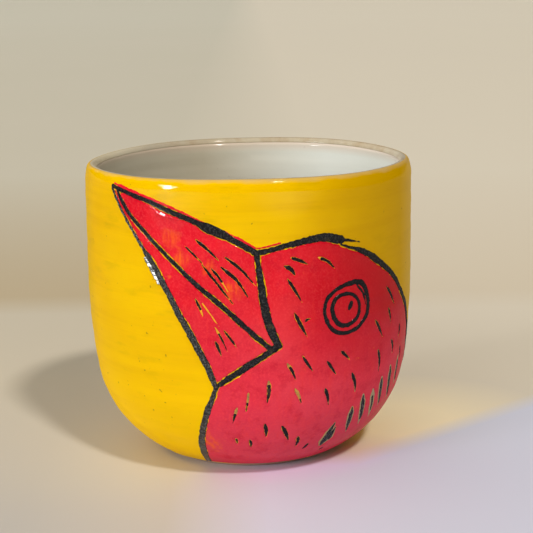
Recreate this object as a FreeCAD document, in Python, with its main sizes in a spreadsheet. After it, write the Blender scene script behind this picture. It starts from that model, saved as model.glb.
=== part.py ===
"""Hand-thrown glazed cup with a drawn bird's head, in millimetres.

The cup stands on Z = 0 with its axis on Z. The bird's face is on the -Y side.
Bodies of revolution: clay_body, yellow_coat, liner_glaze, lip_glaze.
Everything drawn on the outside is a thin inlay that follows the wall.
A place on the wall is given as (angle, run): the angle in degrees from the middle
of the front, positive to the right, and the run in mm up the outside of the cup,
measured along its curve from table level.
"""
import FreeCAD, Part
import math
import os

import Sketcher
from FreeCAD import Base, Vector

DOC = FreeCAD.newDocument("bird_cup")

DIMENSIONS = (
    ("cup_height", 83.5),
    ("wall_radius", 46.2),
    ("straight_from", 52.0),
    ("straight_to", 78.8),
    ("bow_radius", 170.0),
    ("bow_from", 25.4),
    ("belly_radius", 32.5),
    ("shoulder_radius", 12.0),
    ("lip_radius", 1.45),
    ("coat_thickness", 0.4),
    ("coat_from", 1.6),
    ("inner_bow_radius", 170.0),
    ("inner_belly_radius", 30.5),
    ("floor_height", 5.0),
    ("foot_outer_radius", 24.8),
    ("foot_inner_radius", 20.4),
    ("foot_recess", 1.5),
    ("foot_chamfer", 0.7),
    ("red_thickness", 0.25),
    ("line_thickness", 0.35),
    ("line_width", 1.5),
    ("bold_line_width", 1.7),
    ("eye_line_width", 1.2),
    ("stroke_width", 0.85),
    ("groove_width", 1.5),
    ("yellow_margin", 0.18),
    ("bed_gap", 0.01),
)


def make_sheet():
    sheet = DOC.addObject("Spreadsheet::Sheet", "Dimensions")
    for row, (alias, value) in enumerate(DIMENSIONS, start=1):
        sheet.set("A%d" % row, alias)
        sheet.set("B%d" % row, str(value))
        sheet.setAlias("B%d" % row, alias)
    DOC.recompute()
    return sheet


SHEET = make_sheet()


def dim(alias):
    return float(SHEET.get(alias))


# ---------------------------------------------------------------- outline of the cup


class Wall:
    """One side of the cup wall, set in from the finished outline by a thickness.

    It holds the centres that the arcs of the outline share, so that every layer
    is concentric with the next.
    """

    def __init__(self):
        self.radius = dim("wall_radius")
        self.bow = Vector(self.radius - dim("bow_radius"), dim("straight_from"), 0)
        rise = dim("straight_from") - dim("bow_from")
        self.bow_angle = math.asin(rise / dim("bow_radius"))
        reach = dim("bow_radius") - dim("belly_radius")
        self.belly = self.bow + Vector(
            reach * math.cos(self.bow_angle), -reach * math.sin(self.bow_angle), 0)
        self.shoulder = Vector(self.radius - dim("shoulder_radius"), dim("straight_to"), 0)
        lip_height = dim("cup_height") - dim("lip_radius")
        reach = dim("shoulder_radius") - dim("lip_radius")
        self.lip_angle = math.asin((lip_height - dim("straight_to")) / reach)
        self.lip = self.shoulder + Vector(
            reach * math.cos(self.lip_angle), reach * math.sin(self.lip_angle), 0)

    def belly_angle_at(self, height, inset):
        return math.asin((self.belly.y - height) / (dim("belly_radius") - inset))

    def outside(self, run, proud):
        """The point a given run up the outside, and a given height proud of it."""
        foot_angle = self.belly_angle_at(0.0, 0.0)
        length = dim("belly_radius") * (foot_angle - self.bow_angle)
        if run < length:
            angle = run / dim("belly_radius") - foot_angle
            return on_arc(self.belly, dim("belly_radius") + proud, angle)
        run -= length
        length = dim("bow_radius") * self.bow_angle
        if run < length:
            angle = run / dim("bow_radius") - self.bow_angle
            return on_arc(self.bow, dim("bow_radius") + proud, angle)
        run -= length
        length = dim("straight_to") - dim("straight_from")
        if run < length:
            return Vector(self.radius + proud, dim("straight_from") + run, 0)
        run -= length
        return on_arc(self.shoulder, dim("shoulder_radius") + proud, run / dim("shoulder_radius"))


def on_arc(centre, radius, angle):
    return centre + Vector(radius * math.cos(angle), radius * math.sin(angle), 0)


WALL = Wall()

# ---------------------------------------------------------------- sketches and bodies


def plane_of(body, role):
    for feature in body.Origin.OriginFeatures:
        if feature.Role == role:
            return feature
    raise ValueError(role)


class Profile:
    """A closed outline in the XZ plane, drawn piece after piece, then revolved."""

    def __init__(self, name):
        self.body = DOC.addObject("PartDesign::Body", name)
        self.body.Label = name
        self.sketch = self.body.newObject("Sketcher::SketchObject", name + "_outline")
        self.sketch.AttachmentSupport = [(plane_of(self.body, "XZ_Plane"), "")]
        self.sketch.MapMode = "FlatFace"
        self.ends = []

    def line(self, start, end):
        index = self.sketch.addGeometry(Part.LineSegment(start, end), False)
        self.ends.append((index, 1, 2))
        return index

    def arc(self, centre, radius, start_angle, end_angle):
        """An arc walked from start_angle to end_angle, either way round."""
        low = min(start_angle, end_angle)
        high = max(start_angle, end_angle)
        circle = Part.Circle(centre, Vector(0, 0, 1), radius)
        index = self.sketch.addGeometry(Part.ArcOfCircle(circle, low, high), False)
        forward = start_angle < end_angle
        self.ends.append((index, 1, 2) if forward else (index, 2, 1))
        return index

    def join(self, smooth=()):
        """Join each piece to the next; the joints after the pieces in smooth are tangent."""
        for place, (index, _, last) in enumerate(self.ends):
            following, first, _ = self.ends[(place + 1) % len(self.ends)]
            kind = "Tangent" if index in smooth else "Coincident"
            self.sketch.addConstraint(
                Sketcher.Constraint(kind, index, last, following, first))

    def fix(self, kind, reference, value, expression):
        """Add a driving dimension and bind it to the sheet."""
        index = self.sketch.addConstraint(Sketcher.Constraint(kind, *reference, value))
        self.sketch.setExpression("Constraints[%d]" % index, expression)

    def level(self, *indexes):
        for index in indexes:
            self.sketch.addConstraint(Sketcher.Constraint("Horizontal", index))

    def upright(self, *indexes):
        for index in indexes:
            self.sketch.addConstraint(Sketcher.Constraint("Vertical", index))

    def on_axis(self, index, end):
        self.sketch.addConstraint(Sketcher.Constraint("PointOnObject", index, end, -2))

    def on_ground(self, index, end):
        self.sketch.addConstraint(Sketcher.Constraint("PointOnObject", index, end, -1))

    def revolve(self):
        DOC.recompute()
        if self.sketch.solve() != 0:
            raise RuntimeError("the outline of %s doesn't solve" % self.body.Label)
        turn = self.body.newObject("PartDesign::Revolution", self.body.Label + "_turned")
        turn.Profile = self.sketch
        turn.ReferenceAxis = (self.sketch, ["V_Axis"])
        turn.Angle = 360.0
        DOC.recompute()
        return self.body


def sheet(alias):
    return "Dimensions." + alias


LIP_SINE = ("((Dimensions.cup_height - Dimensions.lip_radius - Dimensions.straight_to)"
            " / (Dimensions.shoulder_radius - Dimensions.lip_radius))")
LIP_SIDE = ("(Dimensions.wall_radius - Dimensions.shoulder_radius"
            " + (Dimensions.shoulder_radius - Dimensions.lip_radius)"
            " * sqrt(1 - " + LIP_SINE + "^2))")
LIP_CENTRE = "(Dimensions.cup_height - Dimensions.lip_radius)"
BELLY_CENTRE = ("Dimensions.straight_from - (Dimensions.bow_radius - Dimensions.belly_radius)"
                " * (Dimensions.straight_from - Dimensions.bow_from) / Dimensions.bow_radius")


def less(alias, inset):
    """Sheet expression of a radius, or of that radius less the coat's thickness."""
    return sheet(alias) + (" - Dimensions.coat_thickness" if inset else "")


def more(alias, inset):
    return sheet(alias) + (" + Dimensions.coat_thickness" if inset else "")


def inner_belly():
    """Centre and end angle of the arc that turns the inside wall into the floor."""
    height = dim("floor_height") + dim("inner_belly_radius")
    reach = dim("inner_bow_radius") - dim("inner_belly_radius")
    drop = dim("straight_from") - height
    bow_side = WALL.lip.x - dim("lip_radius") - dim("inner_bow_radius")
    return Vector(bow_side + math.sqrt(reach ** 2 - drop ** 2), height, 0), math.asin(drop / reach)


def draw_inside(profile, inset, downward):
    """Floor, belly, bow and upright of the inside, set back into the clay by inset."""
    centre, turn = inner_belly()
    wall = WALL.lip.x - dim("lip_radius") + inset
    belly_radius = dim("inner_belly_radius") + inset
    bow_radius = dim("inner_bow_radius") + inset
    bow = Vector(wall - bow_radius, dim("straight_from"), 0)
    floor = dim("floor_height") - inset
    down = -math.pi / 2
    if downward:
        upright = profile.line(Vector(wall, WALL.lip.y, 0), Vector(wall, bow.y, 0))
        bow_arc = profile.arc(bow, bow_radius, 0, -turn)
        belly_arc = profile.arc(centre, belly_radius, -turn, down)
        level = profile.line(Vector(centre.x, floor, 0), Vector(0, floor, 0))
        axis_end, low_end = 2, 2
    else:
        level = profile.line(Vector(0, floor, 0), Vector(centre.x, floor, 0))
        belly_arc = profile.arc(centre, belly_radius, down, -turn)
        bow_arc = profile.arc(bow, bow_radius, -turn, 0)
        upright = profile.line(Vector(wall, bow.y, 0), Vector(wall, WALL.lip.y, 0))
        axis_end, low_end = 1, 1
    profile.level(level)
    profile.upright(upright)
    profile.fix("DistanceY", (-1, 1, level, axis_end), floor, less("floor_height", inset))
    profile.fix("DistanceY", (-1, 1, upright, low_end), bow.y, sheet("straight_from"))
    profile.fix("Radius", (belly_arc,), belly_radius, more("inner_belly_radius", inset))
    profile.fix("Radius", (bow_arc,), bow_radius, more("inner_bow_radius", inset))
    profile.on_axis(level, axis_end)
    return level, belly_arc, bow_arc, upright


def draw_outside(profile, inset, downward):
    """Belly, bow, wall and shoulder of the outside, set in by inset."""
    foot = -WALL.belly_angle_at(dim("coat_from"), inset)
    knee = -WALL.bow_angle
    brow = WALL.lip_angle
    side = WALL.radius - inset
    low = Vector(side, dim("straight_from"), 0)
    high = Vector(side, dim("straight_to"), 0)
    belly_radius = dim("belly_radius") - inset
    bow_radius = dim("bow_radius") - inset
    shoulder_radius = dim("shoulder_radius") - inset
    if downward:
        shoulder = profile.arc(WALL.shoulder, shoulder_radius, brow, 0)
        wall = profile.line(high, low)
        bow = profile.arc(WALL.bow, bow_radius, 0, knee)
        belly = profile.arc(WALL.belly, belly_radius, knee, foot)
        high_end, low_end = 1, 2
    else:
        belly = profile.arc(WALL.belly, belly_radius, foot, knee)
        bow = profile.arc(WALL.bow, bow_radius, knee, 0)
        wall = profile.line(low, high)
        shoulder = profile.arc(WALL.shoulder, shoulder_radius, 0, brow)
        high_end, low_end = 2, 1
    profile.upright(wall)
    profile.fix("DistanceX", (-1, 1, wall, low_end), side, less("wall_radius", inset))
    profile.fix("DistanceY", (-1, 1, wall, low_end), low.y, sheet("straight_from"))
    profile.fix("DistanceY", (-1, 1, wall, high_end), high.y, sheet("straight_to"))
    profile.fix("Radius", (belly,), belly_radius, less("belly_radius", inset))
    profile.fix("Radius", (bow,), bow_radius, less("bow_radius", inset))
    profile.fix("Radius", (shoulder,), shoulder_radius, less("shoulder_radius", inset))
    profile.fix("DistanceY", (-1, 1, belly, 3), WALL.belly.y, BELLY_CENTRE)
    profile.fix("DistanceY", (-1, 1, belly, 1), dim("coat_from"), sheet("coat_from"))
    return belly, bow, wall, shoulder


def make_clay_body():
    """Thrown wall and floor, with a foot ring trimmed under the belly."""
    coat = dim("coat_thickness")
    profile = Profile("clay_body")
    inside = draw_inside(profile, coat, downward=False)
    lip = profile.arc(WALL.lip, dim("lip_radius") - coat, math.pi, WALL.lip_angle)
    outside = draw_outside(profile, coat, downward=True)
    belly_end = on_arc(WALL.belly, dim("belly_radius") - coat,
                       -WALL.belly_angle_at(dim("coat_from"), coat))
    side = dim("foot_outer_radius")
    chamfer = dim("foot_chamfer")
    inner = dim("foot_inner_radius")
    recess = dim("foot_recess")
    corners = [
        belly_end,
        Vector(side, chamfer, 0),
        Vector(side - chamfer, 0, 0),
        Vector(inner, 0, 0),
        Vector(inner, recess, 0),
        Vector(0, recess, 0),
        Vector(0, dim("floor_height") - coat, 0),
    ]
    foot = [profile.line(start, end) for start, end in zip(corners, corners[1:])]
    profile.join(smooth=inside + (lip,) + outside[1:])
    slope, bevel, sole, step, ceiling, axis = foot
    profile.fix("Radius", (lip,), dim("lip_radius") - coat, less("lip_radius", coat))
    profile.fix("DistanceY", (-1, 1, lip, 3), WALL.lip.y, LIP_CENTRE)
    profile.fix("DistanceX", (-1, 1, slope, 2), side, sheet("foot_outer_radius"))
    profile.fix("DistanceY", (-1, 1, slope, 2), chamfer, sheet("foot_chamfer"))
    profile.fix("DistanceX", (-1, 1, bevel, 2), side - chamfer,
                "Dimensions.foot_outer_radius - Dimensions.foot_chamfer")
    profile.fix("DistanceX", (-1, 1, sole, 2), inner, sheet("foot_inner_radius"))
    profile.fix("DistanceY", (-1, 1, step, 2), recess, sheet("foot_recess"))
    profile.on_ground(bevel, 2)
    profile.level(sole, ceiling)
    profile.upright(step, axis)
    return profile.revolve()


def make_yellow_coat():
    """Yellow slip and glaze over the outside, from above the foot up to the lip."""
    coat = dim("coat_thickness")
    profile = Profile("yellow_coat")
    outer = draw_outside(profile, 0.0, downward=False)
    face = on_arc(WALL.shoulder, dim("shoulder_radius"), WALL.lip_angle)
    back = on_arc(WALL.shoulder, dim("shoulder_radius") - coat, WALL.lip_angle)
    profile.line(face, back)
    inner = draw_outside(profile, coat, downward=True)
    low_back = on_arc(WALL.belly, dim("belly_radius") - coat,
                      -WALL.belly_angle_at(dim("coat_from"), coat))
    low_face = on_arc(WALL.belly, dim("belly_radius"),
                      -WALL.belly_angle_at(dim("coat_from"), 0.0))
    profile.line(low_back, low_face)
    profile.join(smooth=outer[:3] + inner[1:])
    rise = "Dimensions.straight_to + (Dimensions.shoulder_radius%s) * " + LIP_SINE
    profile.fix("DistanceY", (-1, 1, outer[3], 2), face.y, rise % "")
    profile.fix("DistanceY", (-1, 1, inner[3], 2), back.y, rise % " - Dimensions.coat_thickness")
    return profile.revolve()


def make_liner_glaze():
    """White glaze over the whole inside."""
    coat = dim("coat_thickness")
    profile = Profile("liner_glaze")
    face = draw_inside(profile, 0.0, downward=False)
    side = WALL.lip.x - dim("lip_radius")
    top = profile.line(Vector(side, WALL.lip.y, 0), Vector(side + coat, WALL.lip.y, 0))
    back = draw_inside(profile, coat, downward=True)
    axis = profile.line(Vector(0, dim("floor_height") - coat, 0), Vector(0, dim("floor_height"), 0))
    profile.join(smooth=face[:3] + back[1:])
    profile.level(top)
    profile.fix("DistanceY", (-1, 1, top, 1), WALL.lip.y, LIP_CENTRE)
    profile.fix("DistanceX", (-1, 1, top, 1), side, LIP_SIDE + " - Dimensions.lip_radius")
    profile.fix("DistanceX", (-1, 1, top, 2), side + coat,
                LIP_SIDE + " - Dimensions.lip_radius + Dimensions.coat_thickness")
    return profile.revolve()


def make_lip_glaze():
    """Thin glaze band over the lip, between the yellow coat and the white liner."""
    coat = dim("coat_thickness")
    radius = dim("lip_radius")
    profile = Profile("lip_glaze")
    face = profile.arc(WALL.lip, radius, WALL.lip_angle, math.pi)
    inner_edge = profile.line(on_arc(WALL.lip, radius, math.pi),
                              on_arc(WALL.lip, radius - coat, math.pi))
    back = profile.arc(WALL.lip, radius - coat, math.pi, WALL.lip_angle)
    profile.line(on_arc(WALL.lip, radius - coat, WALL.lip_angle),
                 on_arc(WALL.lip, radius, WALL.lip_angle))
    profile.join()
    profile.sketch.addConstraint(Sketcher.Constraint("Coincident", face, 3, back, 3))
    profile.fix("Radius", (face,), radius, sheet("lip_radius"))
    profile.fix("Radius", (back,), radius - coat, less("lip_radius", coat))
    profile.fix("DistanceX", (-1, 1, face, 3), WALL.lip.x, LIP_SIDE)
    profile.fix("DistanceY", (-1, 1, face, 3), WALL.lip.y, LIP_CENTRE)
    profile.fix("DistanceY", (-1, 1, inner_edge, 1), WALL.lip.y, LIP_CENTRE)
    profile.level(inner_edge)
    rise = LIP_CENTRE + " + (Dimensions.lip_radius%s) * " + LIP_SINE
    sine = math.sin(WALL.lip_angle)
    profile.fix("DistanceY", (-1, 1, face, 1), WALL.lip.y + radius * sine, rise % "")
    profile.fix("DistanceY", (-1, 1, back, 1), WALL.lip.y + (radius - coat) * sine,
                rise % " - Dimensions.coat_thickness")
    return profile.revolve()


# ---------------------------------------------------------------- drawing on the wall


def wall_surface(proud):
    """Surface of revolution that follows the outside; its second parameter is the run."""
    step = 1.5
    runs = [step * count for count in range(62)]
    points = []
    for run in runs:
        place = WALL.outside(run, proud)
        points.append(Vector(0, place.x, place.y))
    curve = Part.BSplineCurve()
    curve.interpolate(Points=points, Parameters=runs)
    return Part.SurfaceOfRevolution(curve, Vector(0, 0, 0), Vector(0, 0, 1))


BED = wall_surface(dim("bed_gap"))
RED_FACE = wall_surface(dim("bed_gap") + dim("red_thickness"))
LINE_FACE = wall_surface(dim("bed_gap") + dim("line_thickness"))


def radius_at(run):
    return WALL.outside(run, 0.0).x


def to_surface(point):
    """(angle, run) to the surface's own parameters; its seam is at the back of the cup."""
    angle, run = point
    return Base.Vector2d(math.pi + math.radians(angle), run)


def turns_left(points):
    """Whether a ring of (angle, run) points runs anticlockwise, seen from outside."""
    area = 0.0
    for (angle_a, run_a), (angle_b, run_b) in zip(points, points[1:] + points[:1]):
        area += angle_a * run_b - angle_b * run_a
    return area > 0


def distances(points):
    """Distance in mm along the wall from the first point to each of the others."""
    total = [0.0]
    for (angle_a, run_a), (angle_b, run_b) in zip(points, points[1:]):
        across = math.radians(angle_b - angle_a) * radius_at(0.5 * (run_a + run_b))
        total.append(total[-1] + math.hypot(across, run_b - run_a))
    return total


def closed_curve(points):
    ring = points if turns_left(points) else points[::-1]
    curve = Part.Geom2d.BSplineCurve2d()
    curve.interpolate([to_surface(point) for point in ring], PeriodicFlag=True,
                      Parameters=distances(ring + ring[:1]))
    return [curve]


def open_curve(points):
    curve = Part.Geom2d.BSplineCurve2d()
    curve.interpolate([to_surface(point) for point in points], Parameters=distances(points))
    return curve


def cornered_curves(sides):
    """One open curve per side; each side starts at the corner where the last one ended.

    The sides are listed clockwise, so they are walked backwards here.
    """
    curves = []
    for place, side in enumerate(sides):
        corner = sides[(place + 1) % len(sides)][0]
        curves.insert(0, open_curve((side + [corner])[::-1]))
    return curves


def wire_on(surface, loop):
    return Part.Wire([curve.toShape(surface) for curve in loop])


def inlay(face_surface, edge, holes=()):
    """A thin solid between the bed and the given face, inside edge and outside holes."""
    shells = []
    for surface in (BED, face_surface):
        outer, *inner = [wire_on(surface, loop) for loop in [edge] + list(holes)]
        face = Part.Face(surface, outer)
        if inner:
            for wire in inner:
                wire.reverse()
            face.cutHoles(inner)
        face.validate()
        shells.append(face)
    for loop in [edge] + list(holes):
        for curve in loop:
            low = curve.toShape(BED)
            high = curve.toShape(face_surface)
            shells.append(Part.makeRuledSurface(low, high))
    shell = Part.makeShell(shells)
    shell.sewShape()
    solid = Part.makeSolid(shell)
    if solid.Volume < 0:
        solid.reverse()
    return solid


def through(points):
    """Smooth curve through (angle, run) points; its parameter is the distance along it."""
    curve = Part.BSplineCurve()
    curve.interpolate(Points=[Vector(angle, run, 0) for angle, run in points],
                      Parameters=distances(points))
    return curve


def mark_outline(points, width, blunt, grow=0.0):
    """Outline of a drawn mark that follows points.

    A blunt mark keeps its width almost to its ends, as a drawn line does. Any other
    mark swells from a point at each end, as a feather stroke does.
    """
    curve = through(points)
    first, last = curve.FirstParameter, curve.LastParameter
    length = last - first
    if blunt:
        end = 0.5 * width / length
        shares = [0.12 * end, 0.5 * end, 1.2 * end]
        count = max(3, int(length / 5.0))
        inner = [1.2 * end + (1.0 - 2.4 * end) * place / count for place in range(1, count)]
        shares = shares + inner + [1.0 - share for share in reversed(shares)]
    else:
        shares = [0.04, 0.2, 0.5, 0.8, 0.96]
    left = []
    right = []
    for share in shares:
        nearest = min(share, 1.0 - share)
        if blunt:
            fullness = math.sqrt(max(0.0, 1.0 - max(0.0, 1.0 - nearest / end) ** 2))
        else:
            fullness = math.sin(math.pi * nearest) ** 0.5
        half = 0.5 * width * fullness + grow
        value = first + (last - first) * share
        place = curve.value(value)
        slope = curve.tangent(value)[0]
        radius = radius_at(place.y)
        across = Vector(-slope.y, math.radians(slope.x) * radius, 0)
        across.normalize()
        shift = Vector(math.degrees(half * across.x / radius), half * across.y, 0)
        left.append(place + shift)
        right.append(place - shift)
    tips = []
    for value, sign in ((first, -1.0), (last, 1.0)):
        place = curve.value(value)
        slope = curve.tangent(value)[0]
        radius = radius_at(place.y)
        along = Vector(math.radians(slope.x) * radius, slope.y, 0)
        along.normalize()
        reach = sign * grow
        tips.append(place + Vector(math.degrees(reach * along.x / radius), reach * along.y, 0))
    outline = [tips[0]] + left + [tips[1]] + right[::-1]
    return closed_curve([(point.x, point.y) for point in outline])


def add_inlay(label, solids):
    feature = DOC.addObject("Part::Feature", label)
    feature.Label = label
    feature.Shape = solids[0] if len(solids) == 1 else Part.makeCompound(solids)
    feature.Placement = FreeCAD.Placement(Vector(0, 0, 0), FreeCAD.Rotation())
    return feature


def add_line(label, points, width):
    add_inlay(label, [inlay(LINE_FACE, mark_outline(points, dim(width), True))])


def add_marks(label, marks, width):
    solids = [inlay(LINE_FACE, mark_outline(mark, dim(width), False)) for mark in marks]
    add_inlay(label, solids)


def room_for(marks, width):
    """Openings in the red that leave a yellow margin round each mark."""
    return [mark_outline(mark, dim(width), False, dim("yellow_margin")) for mark in marks]


# ---------------------------------------------------------------- the drawn bird

BEAK_TOP = [
    (-49.5, 89.4), (-41.8, 88.2), (-33.3, 86.5), (-25.8, 84.4), (-18.9, 82.4),
    (-11.5, 80.0), (-4.0, 76.8), (2.2, 74.3)]
MOUTH = [
    (-44.8, 85.7), (-41.2, 82.5), (-35.7, 79.1), (-29.5, 75.1), (-22.7, 70.5),
    (-16.0, 65.5), (-9.6, 60.7), (-3.3, 56.0), (1.8, 52.0), (5.4, 49.4)]
BEAK_BOTTOM = [
    (-48.5, 87.2), (-45.6, 83.5), (-41.8, 80.2), (-38.0, 76.0), (-34.0, 71.0),
    (-29.9, 66.6), (-26.6, 62.3), (-23.2, 57.2), (-19.9, 52.5), (-16.8, 47.5),
    (-14.6, 43.4), (-12.6, 39.0)]
BEAK_BASE = [
    (2.5, 72.9), (2.8, 69.5), (3.6, 65.0), (4.5, 60.4), (5.7, 55.8), (7.4, 52.0), (9.0, 49.8)]
JAW = [(8.2, 48.5), (3.7, 46.3), (-1.0, 43.9), (-5.3, 41.5), (-9.8, 38.8)]
THROAT = [
    (-11.6, 38.0), (-13.6, 34.1), (-15.8, 30.0), (-17.8, 25.8), (-20.1, 20.5),
    (-21.7, 15.5), (-23.4, 9.5), (-25.0, 5.0)]
CROWN = [
    (3.9, 74.4), (11.4, 75.6), (21.5, 77.0), (30.6, 75.9), (38.8, 72.5), (48.9, 67.9),
    (59.0, 61.8), (69.5, 53.0), (75.2, 46.4)]
NAPE = [
    (76.6, 44.6), (80.2, 39.5), (84.0, 34.5), (86.5, 29.0), (87.0, 22.5), (84.5, 15.5),
    (80.8, 9.5), (78.0, 5.2)]

EYE_OUTER = [
    (24.4, 57.6), (26.0, 61.8), (30.2, 63.9), (35.5, 64.5), (39.4, 63.2), (41.4, 59.6),
    (42.2, 55.8), (39.6, 52.2), (33.6, 50.4), (27.3, 52.6)]
EYE_INNER = [
    (27.6, 57.3), (29.3, 60.2), (33.4, 61.5), (37.4, 59.7), (39.0, 56.6), (37.2, 53.6),
    (33.2, 52.7), (29.2, 54.2)]
PUPIL = [(35.3, 59.0), (34.9, 57.9), (34.2, 56.9)]

UPPER_BEAK_STROKES = [
    [(-17.0, 77.3), (-13.3, 74.9), (-9.8, 72.1)],
    [(-20.8, 75.6), (-18.0, 73.5), (-14.9, 71.1)],
    [(-15.2, 70.6), (-10.6, 66.0), (-5.6, 60.8)],
    [(-12.1, 70.2), (-9.4, 67.5), (-6.9, 64.3)],
    [(-8.6, 70.1), (-4.0, 66.7), (-0.6, 62.4)],
    [(-7.4, 72.8), (-2.8, 69.7), (0.4, 66.3)],
]
LOWER_BEAK_STROKES = [
    [(-17.8, 61.9), (-16.3, 59.6), (-15.1, 56.9)],
    [(-15.4, 60.7), (-12.9, 58.0), (-10.2, 54.9)],
    [(-8.4, 53.5), (-6.4, 51.3), (-4.4, 48.9)],
    [(-11.5, 54.3), (-9.3, 51.2), (-7.5, 47.9)],
    [(-11.5, 50.4), (-10.5, 48.6), (-9.5, 46.3)],
]
CROWN_STROKES = [
    [(13.2, 72.4), (16.2, 71.5), (19.2, 70.2)],
    [(22.6, 71.9), (26.0, 70.6), (28.9, 68.3)],
    [(11.2, 70.2), (13.2, 69.4), (14.9, 67.6)],
    [(12.2, 66.6), (14.6, 63.6), (17.1, 60.2)],
]
CHEEK_STROKES = [
    [(14.4, 57.7), (16.2, 54.6), (18.8, 51.0)],
    [(18.2, 55.3), (19.1, 55.8), (20.2, 55.8)],
    [(31.6, 45.8), (33.2, 44.7), (35.4, 43.0)],
    [(17.2, 45.9), (19.1, 43.6), (21.4, 41.0)],
    [(26.4, 43.5), (28.1, 41.6), (30.3, 39.2)],
    [(37.0, 38.9), (38.8, 36.0), (39.6, 32.8)],
]
NAPE_STROKES = [
    [(53.0, 60.6), (56.2, 57.8), (59.0, 54.3)],
    [(54.4, 54.6), (55.9, 52.2), (57.0, 49.6)],
    [(46.9, 52.2), (49.4, 49.7), (51.8, 46.7)],
    [(64.6, 48.2), (64.9, 46.4), (64.6, 44.5)],
    [(58.1, 44.9), (59.7, 43.0), (60.4, 40.4)],
    [(49.6, 43.4), (51.2, 40.4), (51.4, 36.8)],
    [(68.0, 42.0), (69.2, 39.4), (69.8, 37.0)],
]
NECK_STROKES = [
    [(12.0, 44.0), (14.0, 41.6), (15.2, 39.2)],
    [(15.0, 36.8), (16.5, 34.6), (17.6, 32.2)],
    [(26.1, 35.9), (27.4, 33.4), (28.2, 30.7)],
    [(5.9, 39.4), (5.9, 36.0), (5.3, 33.0)],
    [(-0.9, 36.6), (-1.3, 33.7), (-1.9, 30.7)],
    [(-5.0, 31.9), (-6.0, 29.3), (-6.8, 26.9)],
    [(4.8, 26.6), (5.3, 24.2), (5.4, 21.7)],
    [(11.2, 25.4), (13.2, 22.4), (14.6, 19.4)],
    [(18.4, 20.7), (18.9, 18.6), (18.7, 16.3)],
    [(-6.2, 21.6), (-5.9, 20.2), (-6.0, 18.8)],
    [(-0.8, 20.6), (-0.4, 19.0), (-0.5, 17.3)],
    [(24.3, 16.8), (23.8, 15.4), (22.8, 13.9)],
    [(35.2, 12.6), (34.7, 11.4), (34.2, 10.4)],
]
NECK_GROOVES = [
    [(33.0, 14.9), (33.4, 19.5), (34.2, 24.4)],
    [(39.8, 28.0), (40.8, 23.6), (42.9, 18.2)],
    [(44.4, 31.2), (46.1, 26.1), (49.4, 19.6)],
    [(49.8, 31.8), (51.5, 27.2), (54.6, 21.5)],
    [(54.4, 34.6), (55.6, 30.0), (58.4, 24.5)],
    [(60.2, 36.8), (61.8, 31.2), (65.2, 25.5)],
    [(67.2, 37.8), (67.5, 33.4), (69.6, 28.6)],
]

UPPER_BEAK_RED = [
    [(-44.9, 87.3), (-33.6, 85.2), (-26.2, 83.1), (-19.3, 81.1), (-12.0, 78.7), (-4.4, 75.4)],
    [(1.0, 73.1), (2.0, 66.0), (3.0, 60.0), (4.0, 55.5)],
    [(5.2, 51.7), (2.7, 52.8), (-2.3, 56.8), (-8.6, 61.5), (-15.0, 66.3), (-21.7, 71.3),
     (-28.6, 76.0), (-34.9, 80.0), (-40.8, 83.6)],
]
LOWER_BEAK_RED = [
    [(-39.7, 80.1), (-36.4, 78.1), (-30.4, 74.2), (-23.6, 69.6), (-16.9, 64.6),
     (-10.5, 59.9), (-4.2, 55.2), (1.0, 51.2)],
    [(4.4, 48.2), (2.9, 47.3), (-1.8, 44.9), (-6.1, 42.5)],
    [(-10.9, 39.8), (-13.4, 44.0), (-15.6, 48.1), (-18.7, 53.1), (-22.0, 57.8), (-25.4, 62.9),
     (-28.8, 67.3), (-32.8, 71.6), (-36.6, 76.4)],
]
BEAK_MARGIN_RED = [
    [(-45.8, 90.0), (-36.0, 88.4), (-25.4, 85.8), (-15.0, 82.7)],
    [(-7.5, 80.2), (-3.2, 78.2), (1.2, 76.2)],
]
HEAD_RED = [
    [(4.5, 72.9), (11.6, 74.3), (21.5, 75.7), (30.2, 74.6), (38.1, 71.3), (48.2, 66.7),
     (58.0, 60.8), (67.9, 52.2), (73.9, 46.2), (78.1, 39.8), (81.9, 34.2), (84.3, 28.8),
     (84.8, 22.9), (82.2, 16.5), (78.1, 11.0)],
    [(74.9, 5.2), (16.0, 4.8)],
    [(-22.7, 4.8), (-21.2, 9.6), (-19.6, 15.9), (-18.2, 21.0), (-16.2, 26.4), (-14.1, 30.9)],
    [(-10.1, 37.2), (-4.6, 40.6), (-0.1, 42.9), (4.5, 45.3)],
    [(10.5, 48.4), (9.1, 51.9), (7.3, 56.2), (6.0, 61.0), (5.1, 66.0)],
]


def swell(ring, amount):
    """The same ring pushed outward by an amount in mm; inward if it is negative."""
    middle_angle = sum(angle for angle, _ in ring) / len(ring)
    middle_run = sum(run for _, run in ring) / len(ring)
    radius = radius_at(middle_run)
    moved = []
    for angle, run in ring:
        across = math.radians(angle - middle_angle) * radius
        rise = run - middle_run
        share = 1.0 + amount / math.hypot(across, rise)
        moved.append((middle_angle + (angle - middle_angle) * share, middle_run + rise * share))
    return closed_curve(moved)


def draw_eye():
    """Two rings and a pupil, with red between the rings and inside the inner one."""
    half = 0.5 * dim("eye_line_width")
    margin = half + dim("yellow_margin")
    add_inlay("eye_outer_ring", [inlay(LINE_FACE, swell(EYE_OUTER, half), [swell(EYE_OUTER, -half)])])
    add_inlay("eye_inner_ring", [inlay(LINE_FACE, swell(EYE_INNER, half), [swell(EYE_INNER, -half)])])
    add_line("pupil", PUPIL, "stroke_width")
    pupil_room = mark_outline(PUPIL, dim("stroke_width"), True, dim("yellow_margin"))
    band = inlay(RED_FACE, swell(EYE_OUTER, -margin), [swell(EYE_INNER, margin)])
    disc = inlay(RED_FACE, swell(EYE_INNER, -margin), [pupil_room])
    add_inlay("red_eye", [band, disc])


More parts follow.
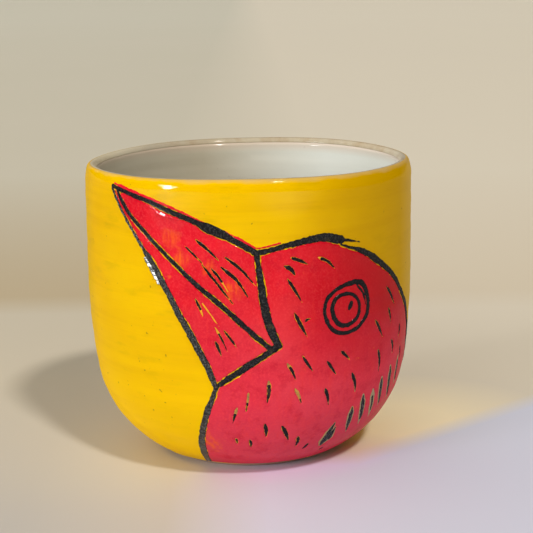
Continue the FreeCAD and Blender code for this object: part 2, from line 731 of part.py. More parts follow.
def draw_lines():
    add_line("beak_top_line", BEAK_TOP, "line_width")
    add_line("mouth_line", MOUTH, "line_width")
    add_line("beak_bottom_line", BEAK_BOTTOM, "line_width")
    add_line("beak_base_line", BEAK_BASE, "bold_line_width")
    add_line("jaw_line", JAW, "line_width")
    add_line("throat_line", THROAT, "line_width")
    add_line("crown_line", CROWN, "line_width")
    add_line("nape_line", NAPE, "line_width")


def draw_strokes():
    add_marks("upper_beak_strokes", UPPER_BEAK_STROKES, "stroke_width")
    add_marks("lower_beak_strokes", LOWER_BEAK_STROKES, "stroke_width")
    add_marks("crown_strokes", CROWN_STROKES, "stroke_width")
    add_marks("cheek_strokes", CHEEK_STROKES, "stroke_width")
    add_marks("nape_strokes", NAPE_STROKES, "stroke_width")
    add_marks("neck_strokes", NECK_STROKES, "stroke_width")
    add_marks("neck_grooves", NECK_GROOVES, "groove_width")


def draw_red():
    """Fields of red slip, cut away round every mark that crosses them."""
    upper_holes = room_for(UPPER_BEAK_STROKES, "stroke_width")
    lower_holes = room_for(LOWER_BEAK_STROKES, "stroke_width")
    eye_room = swell(EYE_OUTER, 0.5 * dim("eye_line_width") + dim("yellow_margin"))
    head_marks = CROWN_STROKES + CHEEK_STROKES + NAPE_STROKES + NECK_STROKES
    head_holes = room_for(head_marks, "stroke_width")
    head_holes += room_for(NECK_GROOVES, "groove_width") + [eye_room]
    add_inlay("red_upper_beak", [inlay(RED_FACE, cornered_curves(UPPER_BEAK_RED), upper_holes)])
    add_inlay("red_lower_beak", [inlay(RED_FACE, cornered_curves(LOWER_BEAK_RED), lower_holes)])
    add_inlay("red_head", [inlay(RED_FACE, cornered_curves(HEAD_RED), head_holes)])
    margins = [inlay(RED_FACE, mark_outline(run, 0.8, False)) for run in BEAK_MARGIN_RED]
    add_inlay("red_beak_margin", margins)


# ---------------------------------------------------------------- build and write


def check_and_write(sub_parts):
    DOC.recompute()
    for entry in DOC.Objects:
        if "Invalid" in entry.State or "Error" in entry.State:
            raise RuntimeError("%s failed: %s" % (entry.Name, entry.State))
    for part in sub_parts:
        if part.Shape.isNull() or not part.Shape.isValid() or part.Shape.Volume <= 0:
            raise RuntimeError("%s has no sound shape" % part.Label)
    os.makedirs("parts", exist_ok=True)
    for part in sub_parts:
        part.Shape.exportStep("parts/%s.step" % part.Label)


make_clay_body()
make_yellow_coat()
make_liner_glaze()
make_lip_glaze()
draw_eye()
draw_lines()
draw_strokes()
draw_red()
SUB_PARTS = DOC.findObjects("PartDesign::Body") + [
    entry for entry in DOC.Objects if entry.TypeId == "Part::Feature"]
for part in SUB_PARTS:
    print(part.Label, part.Shape.isValid(), round(part.Shape.Volume, 3), len(part.Shape.Solids))
check_and_write(SUB_PARTS)
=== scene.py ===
import math
import bpy
import numpy as np
from mathutils import Matrix, Vector


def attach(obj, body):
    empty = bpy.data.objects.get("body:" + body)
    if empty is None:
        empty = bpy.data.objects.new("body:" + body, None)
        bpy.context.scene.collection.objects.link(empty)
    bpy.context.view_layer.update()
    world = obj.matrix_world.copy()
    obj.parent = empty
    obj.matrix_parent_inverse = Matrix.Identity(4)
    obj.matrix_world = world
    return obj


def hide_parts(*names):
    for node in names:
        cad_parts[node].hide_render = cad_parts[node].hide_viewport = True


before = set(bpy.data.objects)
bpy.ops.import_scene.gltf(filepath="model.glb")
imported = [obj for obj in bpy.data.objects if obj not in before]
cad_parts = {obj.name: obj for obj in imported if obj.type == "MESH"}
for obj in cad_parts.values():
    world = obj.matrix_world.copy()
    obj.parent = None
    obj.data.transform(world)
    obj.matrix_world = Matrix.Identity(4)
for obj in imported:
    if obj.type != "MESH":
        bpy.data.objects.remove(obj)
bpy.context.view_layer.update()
MM = 0.001

# ------------------------ the cup's outline, in mm
# The same arcs as the CAD: belly, gentle bow, upright wall, shoulder, lip.

WALL_RADIUS = 46.2
BOW_FROM = 25.4
STRAIGHT_FROM = 52.0
STRAIGHT_TO = 78.8
BOW_RADIUS = 170.0
BELLY_RADIUS = 32.5
SHOULDER_RADIUS = 12.0
LIP_RADIUS = 1.45
CUP_HEIGHT = 83.5
COAT = 0.4
COAT_FROM = 1.6
INNER_BELLY_RADIUS = 30.5
INNER_BOW_RADIUS = 170.0
FLOOR_HEIGHT = 5.0
FOOT_OUTER = 24.8
FOOT_INNER = 20.4
FOOT_RECESS = 1.5

BOW_ANGLE = math.asin((STRAIGHT_FROM - BOW_FROM) / BOW_RADIUS)
BOW_CENTRE = (WALL_RADIUS - BOW_RADIUS, STRAIGHT_FROM)
REACH = BOW_RADIUS - BELLY_RADIUS
BELLY_CENTRE = (BOW_CENTRE[0] + REACH * math.cos(BOW_ANGLE),
                BOW_CENTRE[1] - REACH * math.sin(BOW_ANGLE))
SHOULDER_CENTRE = (WALL_RADIUS - SHOULDER_RADIUS, STRAIGHT_TO)
LIP_ANGLE = math.asin((CUP_HEIGHT - LIP_RADIUS - STRAIGHT_TO) / (SHOULDER_RADIUS - LIP_RADIUS))
LIP_CENTRE = (SHOULDER_CENTRE[0] + (SHOULDER_RADIUS - LIP_RADIUS) * math.cos(LIP_ANGLE),
              CUP_HEIGHT - LIP_RADIUS)
INNER_WALL = LIP_CENTRE[0] - LIP_RADIUS
FOOT_ANGLE = math.asin(BELLY_CENTRE[1] / BELLY_RADIUS)
BELLY_RUN = BELLY_RADIUS * (FOOT_ANGLE - BOW_ANGLE)
BOW_RUN = BELLY_RUN + BOW_RADIUS * BOW_ANGLE
UPRIGHT_RUN = BOW_RUN + STRAIGHT_TO - STRAIGHT_FROM
FULL_RUN = UPRIGHT_RUN + SHOULDER_RADIUS * LIP_ANGLE
COAT_RUN = BELLY_RADIUS * (FOOT_ANGLE - math.asin((BELLY_CENTRE[1] - COAT_FROM) / BELLY_RADIUS))


def outside(run, proud=0.0):
    """Radius and height of the outside, a run along it from table level, for arrays."""
    run = np.asarray(run, float)
    proud = proud + 0.0 * run
    belly = run / BELLY_RADIUS - FOOT_ANGLE
    bow = (run - BELLY_RUN) / BOW_RADIUS - BOW_ANGLE
    brow = (run - UPRIGHT_RUN) / SHOULDER_RADIUS
    conditions = [run < BELLY_RUN, run < BOW_RUN, run < UPRIGHT_RUN]
    radius = np.select(conditions, [
        BELLY_CENTRE[0] + (BELLY_RADIUS + proud) * np.cos(belly),
        BOW_CENTRE[0] + (BOW_RADIUS + proud) * np.cos(bow),
        WALL_RADIUS + proud],
        SHOULDER_CENTRE[0] + (SHOULDER_RADIUS + proud) * np.cos(brow))
    height = np.select(conditions, [
        BELLY_CENTRE[1] + (BELLY_RADIUS + proud) * np.sin(belly),
        BOW_CENTRE[1] + (BOW_RADIUS + proud) * np.sin(bow),
        STRAIGHT_FROM + run - BOW_RUN],
        SHOULDER_CENTRE[1] + (SHOULDER_RADIUS + proud) * np.sin(brow))
    return radius, height


def noise(across, along, seed):
    """Smooth random field between -1 and 1, one cell per unit, for arrays."""
    column = np.floor(across)
    row = np.floor(along)
    share_x = across - column
    share_y = along - row
    share_x = share_x * share_x * (3.0 - 2.0 * share_x)
    share_y = share_y * share_y * (3.0 - 2.0 * share_y)

    def corner(i, j):
        value = np.sin((column + i) * 127.1 + (row + j) * 311.7 + seed * 74.7) * 43758.5453
        return 2.0 * (value - np.floor(value)) - 1.0

    low = corner(0, 0) * (1.0 - share_x) + corner(1, 0) * share_x
    high = corner(0, 1) * (1.0 - share_x) + corner(1, 1) * share_x
    return low * (1.0 - share_y) + high * share_y


RING_LIFT = 6.5


def thrown(radius, angle, height):
    """Hand-thrown shape: faint finger rings, and a rim a little out of round and level.

    The rings climb by RING_LIFT mm a turn, and fade out near the foot and the floor's middle.
    """
    up = np.clip(height / CUP_HEIGHT, 0.0, 1.0)
    body = np.clip(height / 12.0, 0.0, 1.0) * np.clip(radius / 30.0, 0.0, 1.0)
    spiral = height + RING_LIFT * angle / (2.0 * math.pi)
    rings = 0.040 * np.sin(spiral * 0.71 + 0.9 * np.sin(2.0 * angle))
    rings += 0.022 * np.sin(spiral * 1.63 + 1.3)
    round_off = up ** 2 * (0.22 * np.cos(2.0 * angle + 0.6) + 0.12 * np.cos(3.0 * angle + 2.0))
    level_off = up ** 3 * (0.30 * np.sin(angle - 0.4) + 0.22 * np.cos(2.0 * angle + 0.3)
                           + 0.10 * np.cos(5.0 * angle))
    return radius + body * rings + round_off, height + level_off


def place(radius, angle, height):
    """Cylinder coordinates to metres; angle is 0 at the front and grows to the right."""
    radius, height = thrown(radius, angle, height)
    return np.stack([radius * np.sin(angle), -radius * np.cos(angle), height], -1) * MM


# ------------------------ mesh helpers


def add_mesh(name, points, faces, material, nodes):
    """A finished piece: smooth shaded, with its material, riding on the cup."""
    mesh = bpy.data.meshes.new(name)
    mesh.from_pydata([tuple(point) for point in points], [], faces)
    mesh.validate()
    mesh.polygons.foreach_set("use_smooth", [True] * len(mesh.polygons))
    mesh.materials.append(material)
    piece = bpy.data.objects.new(name, mesh)
    bpy.context.scene.collection.objects.link(piece)
    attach(piece, "root")
    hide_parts(*nodes)


def lathe(name, profile, segments, material, nodes, wave=None):
    """Turn a closed profile of (radius, height) points; a point at radius 0 is on the axis."""
    profile = np.array(profile, float)
    on_axis = profile[:, 0] < 1e-6
    angles = np.linspace(-math.pi, math.pi, segments, endpoint=False)
    points = []
    rows = []
    for index, (radius, height) in enumerate(profile):
        ring = np.array([0.0]) if on_axis[index] else angles
        level = np.full_like(ring, height)
        if wave is not None:
            level = level + wave(index, ring)
        rows.append((len(points), len(ring)))
        points.extend(place(np.full_like(ring, radius), ring, level))
    faces = []
    pairs = list(zip(rows, rows[1:] + rows[:1]))
    if on_axis[0] and on_axis[-1]:
        pairs = pairs[:-1]
    for (low, low_count), (high, high_count) in pairs:
        for step in range(segments):
            after = (step + 1) % segments
            if low_count == 1:
                faces.append((low, high + after, high + step))
            elif high_count == 1:
                faces.append((low + step, low + after, high))
            else:
                faces.append((low + step, low + after, high + after, high + step))
    add_mesh(name, points, faces, material, nodes)


def arc_points(centre, radius, start, end, count):
    """Points along an arc, angles in radians."""
    angles = np.linspace(start, end, count)
    return [(centre[0] + radius * math.cos(a), centre[1] + radius * math.sin(a)) for a in angles]


# ------------------------ drawn shapes on the wall
# A drawn shape is a field over (angle in degrees, run in mm): negative inside, in mm.

STEP = 0.16
DEGREES_PER_MM = 1.24
FOOT_DEGREES_PER_MM = 1.6
EDGE_ROOM = 0.8
MEAN_RADIUS = 44.0
SUNK = 0.12


def smooth_path(points, spacing=0.5, closed=False):
    """Catmull-Rom curve through given (angle, run) points."""
    points = np.array(points, float)
    if closed:
        ends = np.vstack([points[-1:], points, points[:2]])
    else:
        ends = np.vstack([2 * points[:1] - points[1:2], points, 2 * points[-1:] - points[-2:-1]])
    path = []
    for before, start, end, after in zip(ends, ends[1:], ends[2:], ends[3:]):
        count = max(2, int(np.hypot((end[0] - start[0]) * 0.8, end[1] - start[1]) / spacing))
        for share in np.arange(count) / count:
            path.append(0.5 * (2 * start + (end - before) * share
                               + (2 * before - 5 * start + 4 * end - after) * share ** 2
                               + (3 * start - before - 3 * end + after) * share ** 3))
    if not closed:
        path.append(points[-1])
    return np.array(path)


def to_path(angle, run, path, closed=False):
    """Distance in mm to a path, and the share of the path passed there."""
    radius, _ = outside(run)
    scale = math.pi / 180.0 * radius
    if closed:
        path = np.vstack([path, path[:1]])
    best = np.full(np.shape(angle), 1e9)
    where = np.zeros(np.shape(angle))
    last = len(path) - 1
    for index in range(last):
        start_x = (path[index, 0] - angle) * scale
        start_y = path[index, 1] - run
        step_x = (path[index + 1, 0] - path[index, 0]) * scale
        step_y = path[index + 1, 1] - path[index, 1]
        share = -(start_x * step_x + start_y * step_y) / (step_x ** 2 + step_y ** 2 + 1e-12)
        share = np.clip(share, 0.0, 1.0)
        distance = np.hypot(start_x + share * step_x, start_y + share * step_y)
        nearer = distance < best
        best = np.where(nearer, distance, best)
        where = np.where(nearer, (index + share) / last, where)
    return best, where


def inside_ring(angle, run, path):
    """Whether each place is inside a closed path."""
    result = np.zeros(np.shape(angle), bool)
    for start, end in zip(path, np.roll(path, -1, axis=0)):
        if start[1] == end[1]:
            continue
        crosses = (start[1] > run) != (end[1] > run)
        side = start[0] + (end[0] - start[0]) * (run - start[1]) / (end[1] - start[1])
        result ^= crosses & (angle < side)
    return result


def grain(angle, run, size, seed):
    """Smooth random field on the wall, one cell per size mm."""
    return noise(np.radians(angle) * MEAN_RADIUS / size, run / size, seed)


class Line:
    """A brushed or scratched mark: given points, and (share, width) along it."""

    def __init__(self, points, widths, closed=False, ragged=0.10):
        self.path = smooth_path(points, closed=closed)
        self.shares = [share for share, _ in widths]
        self.widths = [width for _, width in widths]
        self.closed = closed
        self.ragged = ragged

    def reach(self):
        """Lowest and highest (angle, run) that the line can touch."""
        edge = max(self.widths) + EDGE_ROOM
        low = self.path.min(axis=0) - [edge * FOOT_DEGREES_PER_MM, edge]
        high = self.path.max(axis=0) + [edge * FOOT_DEGREES_PER_MM, edge]
        return low, high

    def field(self, angle, run, seed):
        distance, share = to_path(angle, run, self.path, self.closed)
        half = 0.5 * np.interp(share, self.shares, self.widths)
        rough = self.ragged * (grain(angle, run, 0.9, 3.0 + seed)
                               + 0.6 * grain(angle, run, 0.42, 8.0 + seed))
        burr = 2.2 * self.ragged * np.maximum(0.0, grain(angle, run, 0.6, 15.0 + seed) - 0.45)
        return distance - half - rough - burr


def union(shapes, angle, run):
    """One field for several lines, each worked out only near itself, with its own edge."""
    result = np.full(np.shape(angle), 50.0)
    for number, shape in enumerate(shapes):
        low, high = shape.reach()
        near = (angle > low[0]) & (angle < high[0]) & (run > low[1]) & (run < high[1])
        if near.any():
            value = shape.field(angle[near], run[near], float(number))
            result[near] = np.minimum(result[near], value)
    return result


def raise_shape(name, field, low, high, step, relief, material, nodes):
    """Turn the inside of a field into a thin closed body that follows the wall.

    relief(depth, angle, run) gives its height in mm at a depth inside the edge. The body
    reaches SUNK mm into the wall, so that it closes below the surface.
    """
    columns = int((high[0] - low[0]) / (step * DEGREES_PER_MM)) + 1
    rows = int((high[1] - low[1]) / step) + 1
    angle, run = np.meshgrid(np.linspace(low[0], high[0], columns),
                             np.linspace(low[1], high[1], rows), indexing="ij")
    value = field(angle, run)
    value[[0, -1], :] = np.maximum(value[[0, -1], :], 0.05)
    value[:, [0, -1]] = np.maximum(value[:, [0, -1]], 0.05)
    value = np.where(np.abs(value) < 1e-4, 1e-4, value)
    corners = []
    index_of = {}

    def corner(i, j):
        key = (i, j)
        if key not in index_of:
            index_of[key] = len(corners)
            corners.append((angle[i, j], run[i, j], value[i, j]))
        return index_of[key]

    def crossing(i, j, k, m):
        key = (i, j, k, m) if (i, j) < (k, m) else (k, m, i, j)
        if key not in index_of:
            share = value[i, j] / (value[i, j] - value[k, m])
            index_of[key] = len(corners)
            corners.append((angle[i, j] + share * (angle[k, m] - angle[i, j]),
                            run[i, j] + share * (run[k, m] - run[i, j]), 0.0))
        return index_of[key]

    wet = value < 0
    faces = []
    rim = []
    touched = wet[:-1, :-1] | wet[1:, :-1] | wet[1:, 1:] | wet[:-1, 1:]
    for i, j in zip(*np.nonzero(touched)):
        square = [(i, j), (i + 1, j), (i + 1, j + 1), (i, j + 1)]
        states = [wet[place] for place in square]
        if all(states):
            faces.append([corner(*place) for place in square])
            continue
        if states[0] == states[2] and states[1] == states[3]:
            loops = [[k] for k in range(4) if states[k]]
        else:
            first = next(k for k in range(4) if states[k] and not states[k - 1])
            loops = [[k % 4 for k in range(first, first + 4) if states[k % 4]]]
        for loop in loops:
            before = square[loop[0] - 1]
            after = square[(loop[-1] + 1) % 4]
            entry = crossing(*before, *square[loop[0]])
            leave = crossing(*square[loop[-1]], *after)
            faces.append([entry] + [corner(*square[k]) for k in loop] + [leave])
            rim.append((leave, entry))
    corners = np.array(corners)
    count = len(corners)
    depth = np.maximum(-corners[:, 2], 0.0)
    tall = relief(depth, corners[:, 0], corners[:, 1])
    points = []
    for proud in (tall, np.full(count, -SUNK)):
        radius, height = outside(corners[:, 1], proud)
        points.extend(place(radius, np.radians(corners[:, 0]), height))
    under = [[count + k for k in reversed(face)] for face in faces]
    sides = [(start, end, count + end, count + start) for end, start in rim]
    add_mesh(name, points, faces + under + sides, material, nodes)


# ------------------------ materials


class Tree:
    """A node tree, with short calls for its nodes."""

    def __init__(self, tree, coordinates):
        self.tree = tree
        self.coordinates = tree.nodes.new("ShaderNodeTexCoord").outputs[coordinates]

    def link(self, source, target):
        if isinstance(source, bpy.types.NodeSocket):
            self.tree.links.new(source, target)
        else:
            target.default_value = source

    def node(self, kind, inputs, **settings):
        """The outputs of a new node, whose inputs are linked or set to values."""
        node = self.tree.nodes.new("ShaderNode" + kind)
        for name, value in settings.items():
            setattr(node, name, value)
        for name, value in inputs.items():
            self.link(value, node.inputs[name])
        return node.outputs

    def maths(self, operation, *values):
        return self.node("Math", dict(enumerate(values)), operation=operation)[0]

    def split(self):
        """The x, y and height of a place, in metres."""
        return list(self.node("SeparateXYZ", {0: self.coordinates}))

    def stretched(self, across, up):
        """Object coordinates scaled apart, so that a noise runs in bands or in streaks."""
        scale = (across, across, up)
        return self.node("Mapping", {"Scale": scale, "Vector": self.coordinates})["Vector"]

    def noise(self, scale, detail=3.0, roughness=0.5, vector=None):
        return self.node("TexNoise", {"Scale": scale, "Detail": detail, "Roughness": roughness,
                                      "Vector": vector or self.coordinates})["Fac"]

    def steps(self, value, low, high, low_out=0.0, high_out=1.0):
        """Map a value from low..high to low_out..high_out, held at the ends."""
        return self.node("MapRange", {"From Min": low, "From Max": high, "To Min": low_out,
                                      "To Max": high_out, "Value": value})["Result"]

    def mix(self, share, first, second):
        inputs = {"Factor": share, "A": first, "B": second}
        return self.node("Mix", inputs, data_type="RGBA")["Result"]

    def tint(self, tone, colour, value, *steps):
        """Mix a colour into a tone where a value is between two steps or past them."""
        return self.mix(self.steps(value, *steps), tone, rgb(*colour))

    def away(self, point):
        """Distance in metres to a point."""
        inputs = {0: self.coordinates, 1: point}
        return self.node("VectorMath", inputs, operation="DISTANCE")["Value"]

    def near_point(self, point, inner, outer):
        """1 within inner metres of a point, 0 beyond outer."""
        return self.steps(self.away(point), inner, outer, 1.0, 0.0)

    def patch(self, angle, run, size):
        """How near a place on the wall is: 1 there, 0 beyond a ragged edge, size mm away."""
        radius, height = outside(run)
        away = self.away(place(radius, math.radians(angle), height))
        size *= MM
        ragged = self.steps(self.noise(330.0, 4.0, 0.6), 0.3, 0.7, -0.5 * size, 0.5 * size)
        return self.steps(self.maths("ADD", away, ragged), 0.25 * size, size, 1.0, 0.0)


class Look(Tree):
    """A material around one Principled shader."""

    def __init__(self, name, roughness, coat=0.0, coat_roughness=0.05):
        self.material = bpy.data.materials.new(name)
        self.material.use_nodes = True
        super().__init__(self.material.node_tree, "Object")
        self.shader = self.tree.nodes["Principled BSDF"].inputs
        self.shader["Roughness"].default_value = roughness
        self.shader["Coat Weight"].default_value = coat
        self.shader["Coat Roughness"].default_value = coat_roughness
        self.shader["Specular IOR Level"].default_value = 0.0 if coat else 0.3

    def gloss(self, value):
        """How much clear gloss lies on top."""
        self.link(value, self.shader["Coat Weight"])

    def finish(self, tone, relief, height_mm, coat_share=0.0):
        """Set the colour and the fine relief, of which the levelled-out gloss follows a share."""
        self.link(tone, self.shader["Base Color"])
        for share, socket in ((1.0, "Normal"), (coat_share, "Coat Normal")):
            normal = self.node("Bump", {"Strength": 1.0, "Distance": height_mm * share * MM,
                                        "Height": relief})["Normal"]
            self.link(normal, self.shader[socket])
        return self.material


def rgb(red, green, blue):
    return (red, green, blue, 1.0)


SHOULDER_GLOSS = (-0.0225, -0.0390, 0.0810)
LIP_GLOSS = (0.0095, -0.0445, 0.0828)


def yellow_look():
    """Gloss yellow slip: faint throwing bands, thin olive patches, iron specks, brown at the lip.

    Painted light makes it paler low down, painted shade makes it darker on the right and at the
    left edge, and a painted reflection pales the right edge. It is glossier at two spots near the
    lip.
    """
    look = Look("yellow_slip", roughness=0.4, coat=0.18, coat_roughness=0.03)
    x, _, height = look.split()
    bands = look.noise(1.0, 5.0, 0.62, look.stretched(16.0, 520.0))
    patches = look.noise(38.0, 3.0, 0.55)
    tone = look.mix(look.steps(patches, 0.35, 0.7), rgb(0.82, 0.50, 0.0), rgb(0.78, 0.44, 0.0))
    tone = look.tint(tone, (0.68, 0.37, 0.0), bands, 0.48, 0.78, 0.0, 0.55)
    threads = look.noise(1.0, 3.0, 0.7, look.stretched(180.0, 2600.0))
    tone = look.tint(tone, (0.66, 0.38, 0.0), threads, 0.55, 0.80, 0.0, 0.35)
    smudges = look.noise(1.0, 4.0, 0.6, look.stretched(60.0, 240.0))
    tone = look.tint(tone, (0.48, 0.31, 0.0), smudges, 0.56, 0.78, 0.0, 0.50)
    # Painted shade: the slip is darkened towards the right.
    side = look.maths("ADD", x, look.steps(patches, 0.3, 0.7, -0.003, 0.003))
    tone = look.tint(tone, (0.52, 0.28, 0.0), side, 0.008, 0.032, 0.0, 0.6)
    # Painted shade: the slip is darkened along the left edge.
    tone = look.tint(tone, (0.50, 0.34, 0.0), x, -0.0461, -0.0420, 0.5, 0.0)
    # Painted reflection: a paler strip along the right edge.
    tone = look.tint(tone, (0.80, 0.52, 0.06), x, 0.0410, 0.0455, 0.0, 0.6)
    # Painted light: the slip is paler low down.
    tone = look.tint(tone, (0.96, 0.60, 0.0), height, 0.014, 0.036, 0.6, 0.0)
    specks = look.noise(820.0, 1.0, 0.4)
    sparse = look.maths("ADD", specks, look.steps(look.noise(45.0, 1.0), 0.35, 0.65, -0.06, 0.02))
    tone = look.tint(tone, (0.20, 0.12, 0.01), sparse, 0.748, 0.79, 0.0, 0.6)
    ragged = look.steps(look.noise(170.0, 3.0), 0.3, 0.7, -0.0004, 0.0004)
    ragged = look.maths("ADD", height, ragged)
    tone = look.tint(tone, (0.62, 0.42, 0.16), ragged, 0.0824, 0.0835, 0.0, 0.8)
    pooled = look.maths("MAXIMUM", look.near_point(SHOULDER_GLOSS, 0.007, 0.016),
                        look.near_point(LIP_GLOSS, 0.004, 0.010))
    look.gloss(look.steps(pooled, 0.0, 1.0, 0.18, 0.8))
    skin = look.maths("MULTIPLY_ADD", bands, 0.8, look.noise(260.0, 2.0))
    skin = look.maths("MULTIPLY_ADD", threads, 0.35, skin)
    return look.finish(tone, skin, 0.06, coat_share=0.2)


# Places on the wall: (angle in degrees, run in mm, size in mm).
THIN_PLACES = ((-12.6, 70.0, 2.4), (-4.0, 64.0, 3.4), (-22.0, 72.0, 3.2), (-26.0, 77.5, 3.4),
               (-17.2, 19.0, 4.6), (-0.9, 53.4, 1.4))
POOLED_PLACES = ((-28.6, 83.6, 4.0), (-24.4, 82.4, 4.0))


def red_look():
    """Gloss red slip brushed on by hand: streaks, thin coral places, and a painted reflection that
    makes it pinker lower down.

    Painted shade darkens the upper right, and it is glossier where it pooled below the upper line.
    """
    look = Look("red_slip", roughness=0.4, coat=0.27, coat_roughness=0.035)
    x, _, level = look.split()
    clouds = look.noise(60.0, 4.0, 0.6)
    brush = look.noise(1.0, 4.0, 0.65, look.stretched(700.0, 110.0))
    tone = look.mix(look.steps(clouds, 0.32, 0.68), rgb(0.60, 0.0, 0.012), rgb(0.74, 0.010, 0.024))
    height = look.maths("ADD", level, look.steps(clouds, 0.3, 0.7, -0.006, 0.006))
    # Paler pink patches: partly the slip's own variation, partly painted reflection, stronger lower
    # down.
    soft = look.steps(look.noise(34.0, 3.0, 0.55), 0.46, 0.66)
    soft = look.maths("MULTIPLY", soft, look.steps(height, 0.034, 0.058, 0.6, 0.22))
    tone = look.mix(soft, tone, rgb(0.80, 0.060, 0.070))
    # Painted reflection of the table: pinker lower down.
    tone = look.tint(tone, (0.70, 0.050, 0.095), height, 0.012, 0.050, 0.8, 0.0)
    tone = look.tint(tone, (0.80, 0.035, 0.03), brush, 0.50, 0.82, 0.0, 0.45)
    uneven = look.noise(260.0, 4.0, 0.65)
    tone = look.tint(tone, (0.50, 0.0, 0.020), uneven, 0.50, 0.74, 0.0, 0.55)
    fine = look.noise(1700.0, 3.0, 0.7)
    tone = look.tint(tone, (0.86, 0.065, 0.075), fine, 0.46, 0.74, 0.0, 0.42)
    # Painted shade: the upper right of the red is darkened.
    side = look.steps(x, 0.008, 0.036, 0.0, 0.75)
    upper = look.steps(height, 0.030, 0.046)
    tone = look.mix(look.maths("MULTIPLY", side, upper), tone, rgb(0.42, 0.006, 0.010))
    streaks = look.steps(brush, 0.40, 0.62, 0.1, 0.75)
    for angle, run, size in THIN_PLACES:
        share = look.maths("MULTIPLY", look.patch(angle, run, size), streaks)
        tone = look.mix(share, tone, rgb(0.86, 0.13, 0.01))
    worn = look.noise(230.0, 3.0, 0.7)
    tone = look.tint(tone, (0.84, 0.16, 0.01), worn, 0.69, 0.80, 0.0, 0.5)
    pooled = look.maths("MAXIMUM", *(look.patch(*spot) for spot in POOLED_PLACES))
    look.gloss(look.steps(pooled, 0.0, 0.5, 0.27, 0.8))
    skin = look.maths("MULTIPLY_ADD", brush, 0.8, look.noise(420.0, 2.0))
    return look.finish(tone, skin, 0.05, coat_share=0.15)


def film_look():
    """The thin floor of a scratch, where the black has worn off: tan, orange higher up."""
    look = Look("worn_scratch", roughness=0.45, coat=0.4, coat_roughness=0.1)
    x, _, height = look.split()
    mottle = look.noise(900.0, 3.0, 0.7)
    tone = look.mix(look.steps(mottle, 0.35, 0.65), rgb(0.60, 0.30, 0.03), rgb(0.26, 0.15, 0.05))
    pale = look.maths("MULTIPLY", look.steps(height, 0.028, 0.042, 0.6, 0.0),
                      look.steps(x, 0.012, 0.024, 0.12, 1.0))
    tone = look.mix(pale, tone, rgb(0.42, 0.40, 0.26))
    tone = look.tint(tone, (0.78, 0.36, 0.02), height, 0.040, 0.046)
    return look.finish(tone, mottle, 0.05)


def black_look(name, grey, coat=0.25):
    """Black underglaze, grainy and a little uneven, under the same gloss."""
    look = Look(name, roughness=0.6, coat=coat, coat_roughness=0.05)
    mottle = look.noise(2300.0, 3.0, 0.7)
    tone = look.mix(look.steps(mottle, 0.48, 0.72), rgb(0.008, 0.008, 0.010), rgb(grey, grey, grey))
    rust = look.noise(300.0, 2.0)
    tone = look.tint(tone, (0.16, 0.11, 0.04), rust, 0.66, 0.78, 0.0, 0.35)
    skin = look.maths("ADD", mottle, look.noise(500.0, 2.0))
    return look.finish(tone, skin, 0.05, coat_share=0.08)


def lip_look():
    """Thin glaze broken over the lip, so that the clay shows through in places; painted shade
    darkens the back and painted light pales the left.
    """
    look = Look("lip_glaze", roughness=0.4, coat=0.6, coat_roughness=0.06)
    x, y, _ = look.split()
    blotch = look.noise(240.0, 4.0, 0.6)
    tone = look.mix(look.steps(blotch, 0.38, 0.70), rgb(0.60, 0.53, 0.40), rgb(0.46, 0.34, 0.22))
    pale = look.noise(60.0, 2.0)
    tone = look.tint(tone, (0.64, 0.60, 0.49), pale, 0.42, 0.66, 0.0, 0.7)
    # Painted shade: darker towards the back.
    tone = look.tint(tone, (0.34, 0.28, 0.18), y, 0.005, 0.035, 0.0, 0.45)
    # Painted light: paler on the left.
    tone = look.tint(tone, (0.86, 0.76, 0.52), x, -0.044, -0.030, 0.6, 0.0)
    return look.finish(tone, blotch, 0.05, coat_share=0.2)


def liner_look():
    """White liner glaze with soft grey pooling and a few pinholes; painted shade makes it darker
    and warmer on the left, painted light makes it paler and cooler on the right.
    """
    look = Look("white_glaze", roughness=0.4, coat=0.6, coat_roughness=0.06)
    x, _, height = look.split()
    pool = look.noise(1.0, 3.0, 0.5, look.stretched(22.0, 260.0))
    tone = look.mix(look.steps(pool, 0.35, 0.75), rgb(0.66, 0.63, 0.54), rgb(0.56, 0.54, 0.46))
    holes = look.noise(760.0, 1.0)
    tone = look.tint(tone, (0.34, 0.29, 0.24), holes, 0.76, 0.80, 0.0, 0.5)
    # Painted light and shade: darker and warmer on the left, paler and cooler on the right.
    warm = look.mix(0.6, tone, rgb(0.41, 0.35, 0.23))
    cool = look.mix(0.6, tone, rgb(0.74, 0.79, 0.77))
    tone = look.mix(look.steps(x, -0.014, 0.024), warm, cool)
    tone = look.tint(tone, (0.62, 0.47, 0.36), height, 0.0795, 0.0822, 0.0, 0.6)
    return look.finish(tone, look.maths("ADD", pool, look.noise(240.0, 2.0)), 0.05, coat_share=0.2)


def clay_look():
    """Fired clay, matt and slightly gritty."""
    look = Look("bare_clay", roughness=0.85)
    grit = look.noise(1300.0, 4.0, 0.7)
    stain = look.noise(90.0, 3.0)
    tone = look.mix(look.steps(stain, 0.35, 0.7), rgb(0.50, 0.34, 0.24), rgb(0.40, 0.26, 0.18))
    tone = look.tint(tone, (0.62, 0.48, 0.36), grit, 0.6, 0.75, 0.0, 0.6)
    return look.finish(tone, grit, 0.12)


TABLE_EDGE = 0.158
# Centre of a painted pool of warm bounce light on the table.
BOUNCE_LIGHT_SPOT = (0.046, 0.014, 0.0)
# Centre of a painted lilac shadow close to the foot.
FOOT_SHADOW_SPOT = (0.006, -0.002, 0.0)


